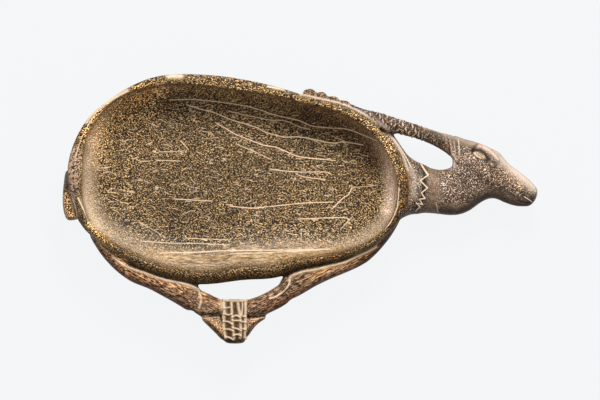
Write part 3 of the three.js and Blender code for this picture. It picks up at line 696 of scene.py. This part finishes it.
# Tints that the flecks keep through: the points, the width and what multiplies the light. Some are the
# stone's own tone; SUNLIT and the strong lightening ones are painted light, SHADED and the deep darkening
# ones painted shade
GOLDEN, RUSSET, SHADED = (1.4, 1.15, 0.75), (1.12, 0.84, 0.72), (0.62, 0.57, 0.54)
ROSY, BROWN, PINK = (1.7, 1.45, 1.3), (0.74, 0.63, 0.5), (1.95, 1.85, 1.75)
THIGH_LIGHT, SUNLIT = (1.3, 1.12, 0.94), (1.3, 1.28, 1.24)
TINTS_AND_PAINTED_LIGHT = [
    ([(302, 91), (318, 94), (332, 98), (348, 104)], 1.2, GOLDEN),
    ([(498, 172), (510, 180), (520, 187)], 1.7, (1.9, 1.7, 1.5)),
    ([(488, 162), (493, 165)], 0.8, GOLDEN),
    ([(478, 156), (484, 158)], 0.6, GOLDEN),
    ([(466, 160), (478, 170), (492, 183)], 2.4, (1.6, 1.5, 1.45)),
    ([(442, 210), (460, 211), (476, 203), (490, 196), (508, 201), (528, 205)], 1.6, SHADED),
    ([(416, 128), (432, 136), (447, 146)], 1.9, BROWN),
    ([(400, 136), (416, 139), (430, 145), (446, 157)], 1.0, SHADED),
    ([(432, 172), (433, 190), (431, 206)], 1.8, (1.05, 1.0, 0.96)),
    ([(100, 252), (114, 268), (130, 279), (152, 289), (176, 302), (196, 314)], 1.5, RUSSET),
    ([(120, 266), (140, 275), (165, 284), (188, 292)], 1.2, THIGH_LIGHT),
    ([(204, 296), (221, 303)], 1.6, GOLDEN),
    ([(390, 236), (376, 252), (360, 266), (335, 277), (305, 290), (272, 308)], 1.4, RUSSET),
    ([(372, 252), (350, 262), (325, 271), (300, 280)], 1.1, GOLDEN),
    ([(249, 303), (262, 303), (272, 300)], 1.5, BROWN),
    ([(206, 318), (216, 324), (222, 332)], 1.3, PINK),
    ([(248, 322), (258, 320), (262, 318)], 1.3, PINK),
    # Painted light on the tail, which lies in the rim's shade
    ([(66, 196), (67.5, 208), (69.5, 217)], 1.6, (4.9, 4.6, 5.0)),
    # Painted light in the shaded groove between the rim and the thigh
    ([(90, 226), (98, 238), (110, 251), (124, 261)], 1.2, (4.0, 3.8, 3.6)),
    # The end walls made paler: partly painted light, partly wear
    ([(82, 160), (84, 190), (92, 220), (108, 238)], 2.6, (1.5, 1.52, 1.56)),
    ([(383, 140), (390, 162), (391, 190), (387, 208)], 3.0, (2.05, 2.12, 2.5)),
    # Painted shade over the floor by the upper right wall
    ([(296, 116), (330, 122), (358, 136), (374, 158)], 4.0, (0.74, 0.66, 0.62)),
    ([(150, 252), (190, 258), (240, 258), (300, 256), (340, 250)], 1.6, (1.04, 0.96, 0.78)),
    ([(445, 176), (454, 190), (460, 202)], 2.6, (1.3, 1.26, 1.28)),
    # Painted light on the shaded upper wall
    ([(90, 138), (104, 112), (130, 98), (156, 93)], 3.2, (3.0, 2.9, 2.9)),
    ([(96, 160), (106, 136), (122, 120), (150, 108)], 3.4, (1.8, 1.78, 1.72)),
    ([(372, 116), (390, 124), (410, 132)], 1.6, THIGH_LIGHT),
    ([(423, 168), (424, 185), (419, 206)], 1.4, SUNLIT),
    # Painted light along the shaded upper wall
    ([(160, 88), (200, 87), (250, 92), (300, 102), (340, 113), (372, 128)], 1.9, (1.85, 1.9, 2.15)),
    ([(118, 262), (140, 271), (168, 281), (192, 291)], 1.6, SUNLIT),
    ([(390, 112), (405, 120), (424, 130)], 1.6, SUNLIT),
    ([(476, 150), (486, 156), (492, 163)], 2.0, SUNLIT),
    ([(505, 160), (514, 169), (526, 180)], 1.6, ROSY),
    ([(478, 145), (490, 150), (500, 155)], 1.2, ROSY),
    ([(446, 138), (452, 150), (456, 158)], 1.2, ROSY),
    # Painted shade on the rim's outer flank by the neck
    ([(360, 266), (377, 252), (392, 234), (402, 218)], 1.6, (0.38, 0.3, 0.24)),
    ([(405, 178), (404, 196), (399, 212), (390, 226)], 1.5, BROWN),
    ([(409, 172), (411, 188), (409, 204)], 1.6, SUNLIT),
    ([(229, 306), (228, 320), (230, 336)], 1.8, GOLDEN),
    ([(238, 306), (238, 322), (238, 336)], 1.8, GOLDEN),
    # Painted shade on the rim's flank over the legs
    ([(150, 268), (190, 277), (230, 277), (275, 275), (320, 262), (350, 252)], 1.8, BROWN),
]

# Where the neck and the head are rubbed smooth: the points, the width and the share
RUBBED = [
    ([(432, 168), (434, 190), (432, 208)], 2.2, 0.85),
    ([(446, 208), (468, 206), (482, 197), (494, 194), (512, 200), (530, 204)], 1.4, 0.85),
    ([(458, 139), (474, 143), (490, 149), (500, 157), (514, 168), (530, 180)], 2.0, 0.8),
    ([(404, 196), (407, 186), (407, 172)], 1.8, 0.6),
    ([(422, 127), (434, 130), (446, 135)], 0.9, 0.8),
]

# The horns: rings along the free stretch, and knobs at the end that grooves part from each other
HORN_AXIS = from_photo([(366, 113), (446, 147)])
RINGED = from_photo([(366, 0), (430, 0)])[:, 0]  # mm: the ringed stretch, by x
RING_PITCH = 1.5  # mm
RING_HEIGHT = 0.16  # mm
RING_FADES = (-1, 3), (-4, 1)  # mm from the two ends of the ringed stretch
# How the rings lean and wander: the height of each wave, and its radians per mm along and across the horn
RING_LEAN = 0.5
RING_WAVES = [(1.3, 0.9, 1.4), (0.9, 2.3, -1.9)]
RING_UNEVENNESS = (0.35, 1.3, 2.2)
RING_PALE, RING_CREST = 0.85, (0.4, 0.95)
RING_DARK, RING_TROUGH = 0.6, (-0.1, 0.7)
HORN_DARK = 0.25
KNOB_GROOVES = [[(316.5, 89), (318, 96)], [(330, 93.5), (331.5, 100)], [(341.5, 98), (343, 104)],
                [(351.5, 101.5), (353, 107)]]
for groove in KNOB_GROOVES:
    stroke(groove, 0.45, 0.4, dark=0.8, names=("near_horn", "far_horn"))


def ring_the_horns(skin):
    horns = skin.share_of("near_horn", "far_horn", rounds=2)
    run = HORN_AXIS[1] - HORN_AXIS[0]
    run /= np.hypot(*run)
    off = skin.points[:, :2] - HORN_AXIS[0]
    along, across = off @ run, off @ np.array([-run[1], run[0]])

    def ripple(height, turn, slant):
        return height * np.sin(turn * along + slant * across)

    x = skin.points[:, 0]
    start, end = (smoothstep(x, place + low, place + high) for place, (low, high) in zip(RINGED, RING_FADES))
    window = start * (1 - end)
    wander = RING_LEAN * across + sum(ripple(*each) for each in RING_WAVES)
    height = 1 - RING_UNEVENNESS[0] + ripple(*RING_UNEVENNESS)
    wave = np.sin(2 * math.pi * along / RING_PITCH + wander) * height
    crest, trough = smoothstep(wave, *RING_CREST), smoothstep(-wave, *RING_TROUGH)
    skin.relief += RING_HEIGHT * wave * window * horns
    skin.pale = np.maximum(skin.pale, RING_PALE * window * horns * crest)
    skin.dark = np.maximum(skin.dark, horns * (HORN_DARK + RING_DARK * window * trough))


def carve_stone(skin):
    detailed = skin.share_of("near_horn", "far_horn", "lashing", "collar", rounds=1) > 0
    for line, width, *_, names, side in strokes:
        if width < FINE_WIDTH:
            detailed[skin.near_line(line, width + 2 * INK_MARGIN, names, side)[0]] = True
    skin.refine(detailed)
    bound = skin.share_of("lashing")
    level = smoothstep(np.abs(skin.normals[:, 2]), *LASHING_LEVEL)
    skin.relief -= LASHING_SINK * bound * level
    # The ground between the cords is darkened as painted shade
    skin.dark = np.maximum(skin.dark, LASHING_SHADE * bound)
    for each in strokes:
        skin.carve(each)
    ring_the_horns(skin)
    skin.apply_relief()


# Paint

RIM_NODES = ("bowl", "tail")
HEAD_NODES = ("head", "near_horn", "far_horn", "near_ear", "far_ear", "neck", "collar", "shoulder")
HIND_NODES = ("near_thigh", "far_thigh", "near_hind_shank", "far_hind_shank")
FORE_NODES = ("near_upper_foreleg", "far_upper_foreleg", "near_fore_shank", "far_fore_shank")
# Which way the stone was rubbed: the nodes, the direction in degrees and what it stretches the flecks by
GRAINS = [(RIM_NODES, 4, 0.5), (HIND_NODES, -27, 0.14), (FORE_NODES, 29, 0.14), (HEAD_NODES, -20, 0.8)]
TINT_REACH, RUBBED_REACH = 3, 2  # widths
PITTED = smooth_line([(75, 152), (73, 170), (71, 196)])  # the rough part of the rim
PITTED_WIDTH, PITTED_CORE = 3.0, 1.5  # mm

# The pale wall inside the rim, partly painted light on the side that faces the lamp and partly wear,
# in mm from the rim: the two ends of each range, and what the legs' side adds
WALL_START = (-0.3, 0.3), (0.5, 2.2)
WALL_END = (1.5, 1.5), (6.5, 5)
WALL_LIT = (-0.6, 0.1)  # the sine of the way it lies from the middle, towards the legs
WALL_LINED = (0.55, 0.85)

# The rim: its levels in mm and the share of the way across it, then the painted shadow inside it
# on the horns' side and the painted shade on the flank that curves over on the legs' side
RIM_LEVELS, RIM_EDGE = (13, 17), (-0.1, 0.1)
SHADOW_DARK, SHADOW_START, SHADOW_END, SHADOW_SIDE = 0.7, (0.0, 0.3), (0.5, 1.6), (0.0, 0.5)
ROLLED_SHADE, ROLLED_ACROSS, ROLLED_LEVELS = 0.75, (0.45, 1.05), (6, 12)


def soft_line(skin, points, width, reach):
    """The skin's points within some widths of a line, and how strongly it works on them."""
    found, beside = skin.near_line(smooth_line(points), reach * width)
    return found, np.exp(-((beside / width) ** 2))


def tint_of(skin):
    tint_and_painted_light = np.ones((len(skin.points), 3))
    for points, width, colour in TINTS_AND_PAINTED_LIGHT:
        found, strength = soft_line(skin, points, width, TINT_REACH)
        tint_and_painted_light[found] *= 1 + strength[:, None] * (np.array(colour) - 1)
    return tint_and_painted_light


def smooth_places(skin):
    smooth = np.zeros(len(skin.points))
    for points, width, share in RUBBED:
        found, strength = soft_line(skin, points, width, RUBBED_REACH)
        smooth[found] = np.maximum(smooth[found], share * strength)
    return smooth


def pitted_places(skin):
    pitted = np.zeros(len(skin.points))
    found, beside = skin.near_line(PITTED, 2 * PITTED_WIDTH, ("bowl",), UP)
    pitted[found] = 1 - smoothstep(np.abs(beside), PITTED_CORE, PITTED_WIDTH)
    return pitted


def grain_of(skin):
    """The place that the flecks are drawn from, drawn out the way that the stone was rubbed."""
    x, y, z = skin.points.T
    grain = np.stack([x, y, z], 1)
    for names, degrees, stretch in GRAINS:
        turn = math.radians(degrees)
        along = stretch * (math.cos(turn) * x + math.sin(turn) * y)
        across = math.cos(turn) * y - math.sin(turn) * x
        part = skin.belongs_to(names)
        grain[part] = np.stack([along, across, z], 1)[part]
    return grain


def paint(skin, walls):
    """What the stone's material reads at each point."""
    x, y, z = skin.points.T
    angle, inset, _, across = round_the_bowl(x, y, walls)
    sine = np.sin(angle)
    low_side = low_side_share(angle)
    bowl = skin.share_of(*RIM_NODES)

    def from_rim(ends):
        low, high = (end + more * low_side for end, more in ends)
        return smoothstep(inset, low, high)

    # Painted light and wear: the wall is paler on the lamp's side, and not on the shaded side by the horns
    wall = from_rim(WALL_START) * (1 - from_rim(WALL_END)) * smoothstep(-sine, *WALL_LIT)
    top = smoothstep(z, *RIM_LEVELS)
    rim = smoothstep(across, *RIM_EDGE) * top
    shadow = smoothstep(inset, *SHADOW_START) * (1 - smoothstep(inset, *SHADOW_END))
    shadow = SHADOW_DARK * shadow * smoothstep(sine, *SHADOW_SIDE) * top
    # Painted shade: the rim's outer flank on the legs' side, darker towards its edge
    rolled_shade = ROLLED_SHADE * smoothstep(across, *ROLLED_ACROSS) * smoothstep(z, *ROLLED_LEVELS) * low_side
    rolled_shade *= 1 - skin.share_of("tail")
    return {
        "limb": 1 - bowl,
        "head": skin.share_of(*HEAD_NODES, rounds=5),
        "wall": skin.soften(wall, 2) * bowl,
        "lined": smoothstep(-sine, *WALL_LINED),
        "rim": rim * bowl,
        "pitted": pitted_places(skin) * rim,
        "pale": np.clip(skin.pale, 0, 1),
        "dark": np.clip(np.maximum(skin.dark, bowl * np.maximum(shadow, rolled_shade)), 0, 1),
        "beside": skin.beside,
        "ink": skin.ink,
        "tint_and_painted_light": tint_of(skin),
        "smooth": smooth_places(skin),
        "grain": grain_of(skin) * MM,
    }


def dress(mesh, attributes):
    for key, values in attributes.items():
        kind, field = ("FLOAT", "value") if values.ndim == 1 else ("FLOAT_VECTOR", "vector")
        layer = mesh.attributes.new(key, kind, "POINT")
        layer.data.foreach_set(field, values.astype(np.float32).ravel())


# Materials


def srgb(r, g, b):
    """A colour as linear light, from the usual 0 to 255 values."""
    values = [c / 255 for c in (r, g, b)]
    linear = [c / 12.92 if c <= 0.04045 else ((c + 0.055) / 1.055) ** 2.4 for c in values]
    return (*linear, 1.0)


class Nodes:
    """Short forms for building a node tree."""

    def __init__(self, name):
        self.material = bpy.data.materials.new(name)
        self.material.use_nodes = True
        self.tree = self.material.node_tree
        self.tree.nodes.clear()

    def put(self, socket, value):
        if isinstance(value, bpy.types.NodeSocket):
            self.tree.links.new(value, socket)
        else:
            socket.default_value = value

    def add(self, kind, inputs=None, **settings):
        node = self.tree.nodes.new(kind)
        for key, value in settings.items():
            setattr(node, key, value)
        for key, value in (inputs or {}).items():
            self.put(node.inputs[key], value)
        return node

    def math(self, operation, a, b=0.0, clamp=False):
        node = self.add("ShaderNodeMath", {0: a, 1: b}, operation=operation, use_clamp=clamp)
        return node.outputs[0]

    def times(self, a, b, clamp=False):
        return self.math("MULTIPLY", a, b, clamp)

    def weigh(self, a, b, share):
        """A share of one value and the rest of another."""
        return self.math("ADD", self.times(a, share), self.times(b, 1 - share))

    def spread(self, value, low, high, to_low=0.0, to_high=1.0):
        """The value mapped from one range to another, eased and held at its ends."""
        node = self.add("ShaderNodeMapRange", {0: value, 1: low, 2: high, 3: to_low, 4: to_high},
                        interpolation_type="SMOOTHSTEP")
        return node.outputs[0]

    def mix(self, factor, a, b, blend="MIX"):
        node = self.add("ShaderNodeMix", data_type="RGBA", blend_type=blend)
        for index, value in ((0, factor), (6, a), (7, b)):
            self.put(node.inputs[index], value)
        return node.outputs[2]

    def mapped(self, place, **inputs):
        return self.add("ShaderNodeMapping", {"Vector": place, **inputs}).outputs[0]

    def noise(self, place, scale, detail=2.0, roughness=0.5):
        inputs = {"Vector": place, "Scale": scale, "Detail": detail, "Roughness": roughness}
        return self.add("ShaderNodeTexNoise", inputs).outputs[0]

    def attribute(self, name, output="Fac"):
        return self.add("ShaderNodeAttribute", attribute_name=name).outputs[output]


# The stone's colours by part: its dark flecks, its ground and its light flecks
STONE = {
    "bowl": ((3, 2, 1), (84, 59, 33), (255, 216, 152)),
    "rim": ((6, 4, 2), (82, 57, 27), (250, 202, 128)),
    "limb": ((50, 31, 19), (150, 114, 83), (236, 198, 158)),
    "head": ((18, 13, 10), (114, 89, 68), (255, 236, 212)),
    # The pale wall's colours stand for painted light as well as wear
    "wall": ((118, 92, 64), (200, 174, 144), (242, 222, 196)),
    "pitted": ((30, 20, 14), (180, 144, 112), (226, 196, 168)),
}
SMOOTH = (98, 78, 62), (158, 132, 108)  # the rubbed parts of the neck and the head
# The dark of painted shade and dark marks, then the pales of scratches, chips and painted highlights
SHADE_AND_MARK_DARK, CREAM, HEAD_PALE = (18, 12, 8), (250, 220, 184), (238, 216, 196)
# These multiply the light
EVEN, COOL, WARMTH = (1.0, 1.0, 1.0, 1.0), (0.84, 0.96, 1.08, 1.0), (1.18, 0.98, 0.78, 1.0)

# The noise patterns: waves per metre, detail and roughness
NOISES = {
    "fine": (4000, 1, 0.5), "crossing": (3600, 1, 0.5), "coarse": (1300, 3, 0.6), "crumbs": (2500, 3, 0.6),
    "cloud": (60, 3, 0.55), "blotch": (330, 2, 0.5), "hue": (1300, 1, 0.5), "pits": (1200, 2, 0.6),
    "lines": (2800, 2, 0.6), "lines_down": (2600, 3, 0.7), "streaks": (2600, 2, 0.6),
}
STRETCHES = {"lines": (0.07, 1.0, 1.0), "lines_down": (1.0, 0.3, 1.0), "streaks": (0.22, 1.0, 1.0)}
CROSSING_TURN = 0.5  # radians

# The range over which a pattern passes from one colour to the next, and for shades what it turns that into
FLECKS_LOW, FLECKS_HIGH = (0.478, 0.524), (0.625, 0.66)
CRUMBS_LOW, CRUMBS_HIGH = (0.4, 0.5), (0.56, 0.63)
CALM_LOW, CALM_HIGH = (0.4, 0.49), (0.54, 0.61)
RUBBED_RANGE, PITS_RANGE, HUE_RANGE = (0.35, 0.65), (0.47, 0.53), (0.35, 0.65)
CLOUD, BLOTCH, STREAKS = (0.3, 0.7, 0.86, 1.14), (0.35, 0.65, 0.78, 1.15), (0.32, 0.68, 0.66, 1.3)
BROKEN, ROUGHNESS = (0.34, 0.5, 0.7, 1.0), (0.3, 0.7, 0.66, 0.46)
HUE_SHARE = (0.0, 1.0, 0.4, 0.5)  # by how much it is a limb
INK_EDGE = (0.6, 1.2, 1.0, 0.0)  # in widths of the line
FINE_SHARE, WALL_LIFT, WALL_SHARE, DARK_SHARE = 0.87, 0.08, 0.74, 0.92
BUMP_SHARE, BUMP_STRENGTH, BUMP_HEIGHT = 0.6, 0.5, 0.0002  # m
SHINE = 0.3


def noise_patterns(n):
    place, grain = n.add("ShaderNodeTexCoord").outputs["Object"], n.attribute("grain", "Vector")
    places = {name: n.mapped(place, Scale=stretch) for name, stretch in STRETCHES.items()}
    places |= {"fine": grain, "coarse": grain, "crossing": n.mapped(grain, Rotation=(0, 0, CROSSING_TURN))}
    return {name: n.noise(places.get(name, place), *values) for name, values in NOISES.items()}


def flecked_stone(n, noise):
    """Each part's dark flecks, ground and light flecks."""
    wall = n.attribute("wall")
    flecks = n.weigh(noise["fine"], noise["coarse"], FINE_SHARE)
    low = n.spread(n.math("ADD", flecks, n.times(wall, WALL_LIFT)), *FLECKS_LOW)
    high = n.spread(n.math("MAXIMUM", noise["fine"], noise["crossing"]), *FLECKS_HIGH)
    calm = n.times(n.attribute("lined"), n.math("SUBTRACT", noise["lines"], noise["fine"]))
    calm = n.math("ADD", noise["fine"], calm)

    def flecked(part, low, high):
        dark, ground, light = (srgb(*c) for c in STONE[part])
        return n.mix(high, n.mix(low, dark, ground), light)

    colour = flecked("bowl", low, high)
    for part in ("rim", "limb"):
        colour = n.mix(n.attribute(part), colour, flecked(part, low, high))
    crumbly = flecked("head", *(n.spread(noise["crumbs"], *levels) for levels in (CRUMBS_LOW, CRUMBS_HIGH)))
    rubbed = n.mix(n.spread(noise["lines_down"], *RUBBED_RANGE), *(srgb(*c) for c in SMOOTH))
    colour = n.mix(n.attribute("head"), colour, n.mix(n.attribute("smooth"), crumbly, rubbed))
    # The wall turns pale: painted light on the lamp's side, and wear
    pale = flecked("wall", *(n.spread(calm, *levels) for levels in (CALM_LOW, CALM_HIGH)))
    colour = n.mix(n.times(wall, WALL_SHARE), colour, pale)
    return n.mix(n.attribute("pitted"), colour, flecked("pitted", n.spread(noise["pits"], *PITS_RANGE), high))


def shaded(n, noise, colour):
    """The colour with its clouds, streaks, changes of hue and tints, some of them painted light and shade."""
    limb = n.attribute("limb")
    shade = n.times(n.spread(noise["cloud"], *CLOUD), n.mix(limb, EVEN, n.spread(noise["blotch"], *BLOTCH)))
    shade = n.times(shade, n.mix(limb, n.spread(noise["streaks"], *STREAKS), EVEN))
    tone = n.add("ShaderNodeCombineColor", {0: shade, 1: shade, 2: shade}).outputs[0]
    colour = n.mix(1.0, colour, tone, "MULTIPLY")
    hue = n.mix(n.spread(noise["hue"], *HUE_RANGE), COOL, WARMTH)
    colour = n.mix(n.spread(limb, *HUE_SHARE), colour, n.mix(1.0, colour, hue, "MULTIPLY"))
    return n.mix(1.0, colour, n.attribute("tint_and_painted_light", "Vector"), "MULTIPLY")


def drawn_on(n, noise, colour):
    """The colour with soft dark and pale strokes, many of them painted light, and the crisp lines over them.
    """
    broken = n.spread(noise["coarse"], *BROKEN)
    # Painted shade and dark marks, then pale wear and painted highlights
    colour = n.mix(n.times(n.attribute("dark"), DARK_SHARE), colour, srgb(*SHADE_AND_MARK_DARK))
    pale_wear_and_highlight = n.mix(n.attribute("head"), srgb(*CREAM), srgb(*HEAD_PALE))
    colour = n.mix(n.times(n.attribute("pale"), broken), colour, pale_wear_and_highlight)
    beside = n.math("ABSOLUTE", n.attribute("beside"))
    line = n.times(n.spread(beside, *INK_EDGE), broken)
    ink = n.attribute("ink")
    colour = n.mix(n.times(line, ink, clamp=True), colour, srgb(*CREAM))
    return n.mix(n.times(line, n.times(ink, -1.0), clamp=True), colour, srgb(*SHADE_AND_MARK_DARK))


def stone_material():
    n = Nodes("carved_stone")
    noise = noise_patterns(n)
    colour = drawn_on(n, noise, shaded(n, noise, flecked_stone(n, noise)))
    height = n.weigh(noise["fine"], noise["coarse"], BUMP_SHARE)
    bump = n.add("ShaderNodeBump", {"Strength": BUMP_STRENGTH, "Distance": BUMP_HEIGHT, "Height": height})
    shader = n.add("ShaderNodeBsdfPrincipled", {
        "Base Color": colour, "Roughness": n.spread(noise["coarse"], *ROUGHNESS),
        "Specular IOR Level": SHINE, "Normal": bump.outputs[0]})
    n.add("ShaderNodeOutputMaterial", {"Surface": shader.outputs[0]})
    return n.material


# Pieces: the skin is sawn where the CAD nodes meet, so that each node has its own closed piece

SAW_MARGIN = 2.8  # mm: how far past a node's surface its region reaches
SAW_EASE = 0.3  # mm: the smoothing of the cuts
SAW_OVERLAP = 0.2  # mm: each region reaches this far over the last cut, so that no sliver is left
SAW_STRIDE = 2  # voxels of the stone for one of a region


def region_of(name, owner, nearest, second):
    """The space round a node that is nearer to it than to any other, as an object in mm. The bowl's
    also takes in all that is far from every node."""
    points = all_points if name == "bowl" else triangles_of(name)[0]
    first, shape, box = box_of(points.min(0) - MARGIN, points.max(0) + MARGIN)
    own = distance_to(name, first, shape) - np.float32(BULGE.get(name, 0))
    mine = owner[box] == OWNERS.index(name)
    field = blur(np.where(mine, nearest[box] - second[box], own - nearest[box]), SAW_EASE)
    field = np.maximum(field - SAW_OVERLAP, own - SAW_MARGIN)
    if name == "bowl":
        field = np.minimum(field, SAW_MARGIN - SAW_OVERLAP - nearest[box])
    field = field[::SAW_STRIDE, ::SAW_STRIDE, ::SAW_STRIDE].copy()
    for axis in range(3):
        ends = np.moveaxis(field, axis, 0)
        ends[0] = ends[-1] = SAW_MARGIN
    mesh = surface_of("region_" + name, field, first, SAW_STRIDE)
    return link(bpy.data.objects.new("region_" + name, mesh))


def cut(target, region, operation):
    """The mesh of what is left of an object inside a region, or outside it."""
    saw = target.modifiers.new("saw", "BOOLEAN")
    saw.solver = "MANIFOLD"
    saw.operation = operation
    saw.object = region
    whole = target.evaluated_get(bpy.context.evaluated_depsgraph_get())
    mesh = bpy.data.meshes.new_from_object(whole)
    target.modifiers.remove(saw)
    return mesh


def without_crumbs(mesh):
    """The mesh without the loose bits that the saw leaves: only its largest part stays."""
    a, b = values_of(mesh.edges, "vertices", 2, np.int32).T
    label = np.arange(len(mesh.vertices))
    settled = False
    while not settled:
        before = label.copy()
        lowest = np.minimum(label[a], label[b])
        np.minimum.at(label, a, lowest)
        np.minimum.at(label, b, lowest)
        label = label[label]
        settled = np.array_equal(label, before)
    largest = np.bincount(label).argmax()
    crumbs = np.flatnonzero(label != largest)
    if len(crumbs):
        work = bmesh.new()
        work.from_mesh(mesh)
        work.verts.ensure_lookup_table()
        bmesh.ops.delete(work, geom=[work.verts[i] for i in crumbs], context="VERTS")
        work.to_mesh(mesh)
        work.free()
    return mesh


def saw_apart(whole, owner, nearest, second):
    """A mesh in mm for each node, cut from the whole object. The last node has what is left."""
    pieces = {}
    for name in OWNERS[:-1]:
        region = region_of(name, owner, nearest, second)
        pieces[name] = without_crumbs(cut(whole, region, "INTERSECT"))
        whole.data = cut(whole, region, "DIFFERENCE")
        bpy.data.objects.remove(region)
    pieces[OWNERS[-1]] = without_crumbs(whole.data)
    return pieces


def finish_piece(name, mesh, skin, tree, attributes, material):
    """Gives a piece the paint and the normals of the skin that it was cut from."""
    points = values_of(mesh.vertices, "co", 3)
    source = np.array([tree.find(point)[1] for point in points])
    dress(mesh, {key: values[source] for key, values in attributes.items()})
    mesh.vertices.foreach_set("co", (points * MM).ravel())
    mesh.polygons.foreach_set("use_smooth", np.ones(len(mesh.polygons), bool))
    mesh.update()
    mesh.normals_split_custom_set_from_vertices(skin.normals[source])
    mesh.materials.clear()
    mesh.materials.append(material)
    piece = link(bpy.data.objects.new("carved_" + name, mesh))
    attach(piece, "root")
    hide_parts(name)


# The dish

SMOOTHING, SMOOTHING_ROUNDS = 0.5, 16
LIMB_EDGE = (0.2, 0.8)
THIN_SPARED = 0.8  # the share of the smoothing that the horns and the ears are spared

stone, owner, nearest, second, walls = stone_field()
skin = Skin(stone, owner)
limbs = skin.share_of(*OWNERS[1:], rounds=4)
thin = skin.share_of("near_horn", "far_horn", "near_ear", "far_ear", rounds=2)
skin.smooth(SMOOTHING * smoothstep(limbs, *LIMB_EDGE) * (1 - THIN_SPARED * thin), SMOOTHING_ROUNDS)
carve_stone(skin)
attributes = paint(skin, walls)
whole = link(bpy.data.objects.new("whole", skin.mesh))
pieces = saw_apart(whole, owner, nearest, second)
bpy.data.objects.remove(whole)
tree = kdtree.KDTree(len(skin.points))
for i, point in enumerate(skin.points):
    tree.insert(point, i)
tree.balance()
material = stone_material()
for name, mesh in pieces.items():
    finish_piece(name, mesh, skin, tree, attributes, material)


# Studio

FLOOR_SIZE = 1.6  # m
FLOOR_TONES, FLOOR_CLOUDS = ((140, 141, 145), (146, 147, 150)), 3  # waves per metre
WHITE, WHITE_SHARE = (253, 254, 255), 0.9
KEY_DIRECTION = (0.14, 0.66, 0.74)
KEY_DISTANCE = 0.8  # m
KEY_SIZE = 0.3  # m
KEY_POWER = 6.8  # W
WORLD_STRENGTH = 0.32
CAMERA_HEIGHT = 0.6  # m


def white_to_camera(nodes, shader):
    """The shader, mostly white where the camera sees it directly or in a reflection."""
    light = nodes.add("ShaderNodeLightPath")
    seen = nodes.math("MAXIMUM", light.outputs["Is Camera Ray"], light.outputs["Is Glossy Ray"])
    seen = nodes.math("MAXIMUM", seen, light.outputs["Is Transmission Ray"])
    white = nodes.add("ShaderNodeEmission", {"Color": srgb(*WHITE), "Strength": 1.0})
    factor = nodes.times(seen, WHITE_SHARE)
    return nodes.add("ShaderNodeMixShader", {0: factor, 1: shader, 2: white.outputs[0]}).outputs[0]


def floor():
    half = FLOOR_SIZE / 2
    corners = [(-half, -half, 0), (half, -half, 0), (half, half, 0), (-half, half, 0)]
    mesh = bpy.data.meshes.new("studio_floor")
    mesh.from_pydata(corners, [], [(0, 1, 2, 3)])
    n = Nodes("pale_floor")
    place = n.add("ShaderNodeTexCoord").outputs["Object"]
    tone = n.mix(n.noise(place, FLOOR_CLOUDS), *(srgb(*c) for c in FLOOR_TONES))
    base = n.add("ShaderNodeBsdfDiffuse", {"Color": tone}).outputs[0]
    n.add("ShaderNodeOutputMaterial", {"Surface": white_to_camera(n, base)})
    mesh.materials.append(n.material)
    link(bpy.data.objects.new("studio_floor", mesh))


def world():
    made = bpy.data.worlds.new("studio_world")
    made.use_nodes = True
    background = made.node_tree.nodes["Background"]
    background.inputs["Color"].default_value = (1.0, 1.0, 1.0, 1.0)
    background.inputs["Strength"].default_value = WORLD_STRENGTH
    bpy.context.scene.world = made


def key_light():
    data = bpy.data.lights.new("key", "AREA")
    data.shape = "SQUARE"
    data.size = KEY_SIZE
    data.energy = KEY_POWER
    made = link(bpy.data.objects.new("key", data))
    direction = np.array(KEY_DIRECTION) / np.linalg.norm(KEY_DIRECTION)
    made.location = direction * KEY_DISTANCE
    made.rotation_mode = "QUATERNION"
    made.rotation_quaternion = Vector(direction).to_track_quat("Z", "Y")


def camera():
    data = bpy.data.cameras.new("camera")
    data.type = "ORTHO"
    data.ortho_scale = PHOTO_SIZE[0] * MM_PER_PIXEL * MM
    made = link(bpy.data.objects.new("camera", data))
    x, y = from_photo([(PHOTO_SIZE[0] / 2, PHOTO_SIZE[1] / 2)])[0] * MM
    made.location = (x, y, CAMERA_HEIGHT)
    bpy.context.scene.camera = made


floor()
world()
key_light()
camera()
bpy.context.scene.view_settings.view_transform = "Standard"
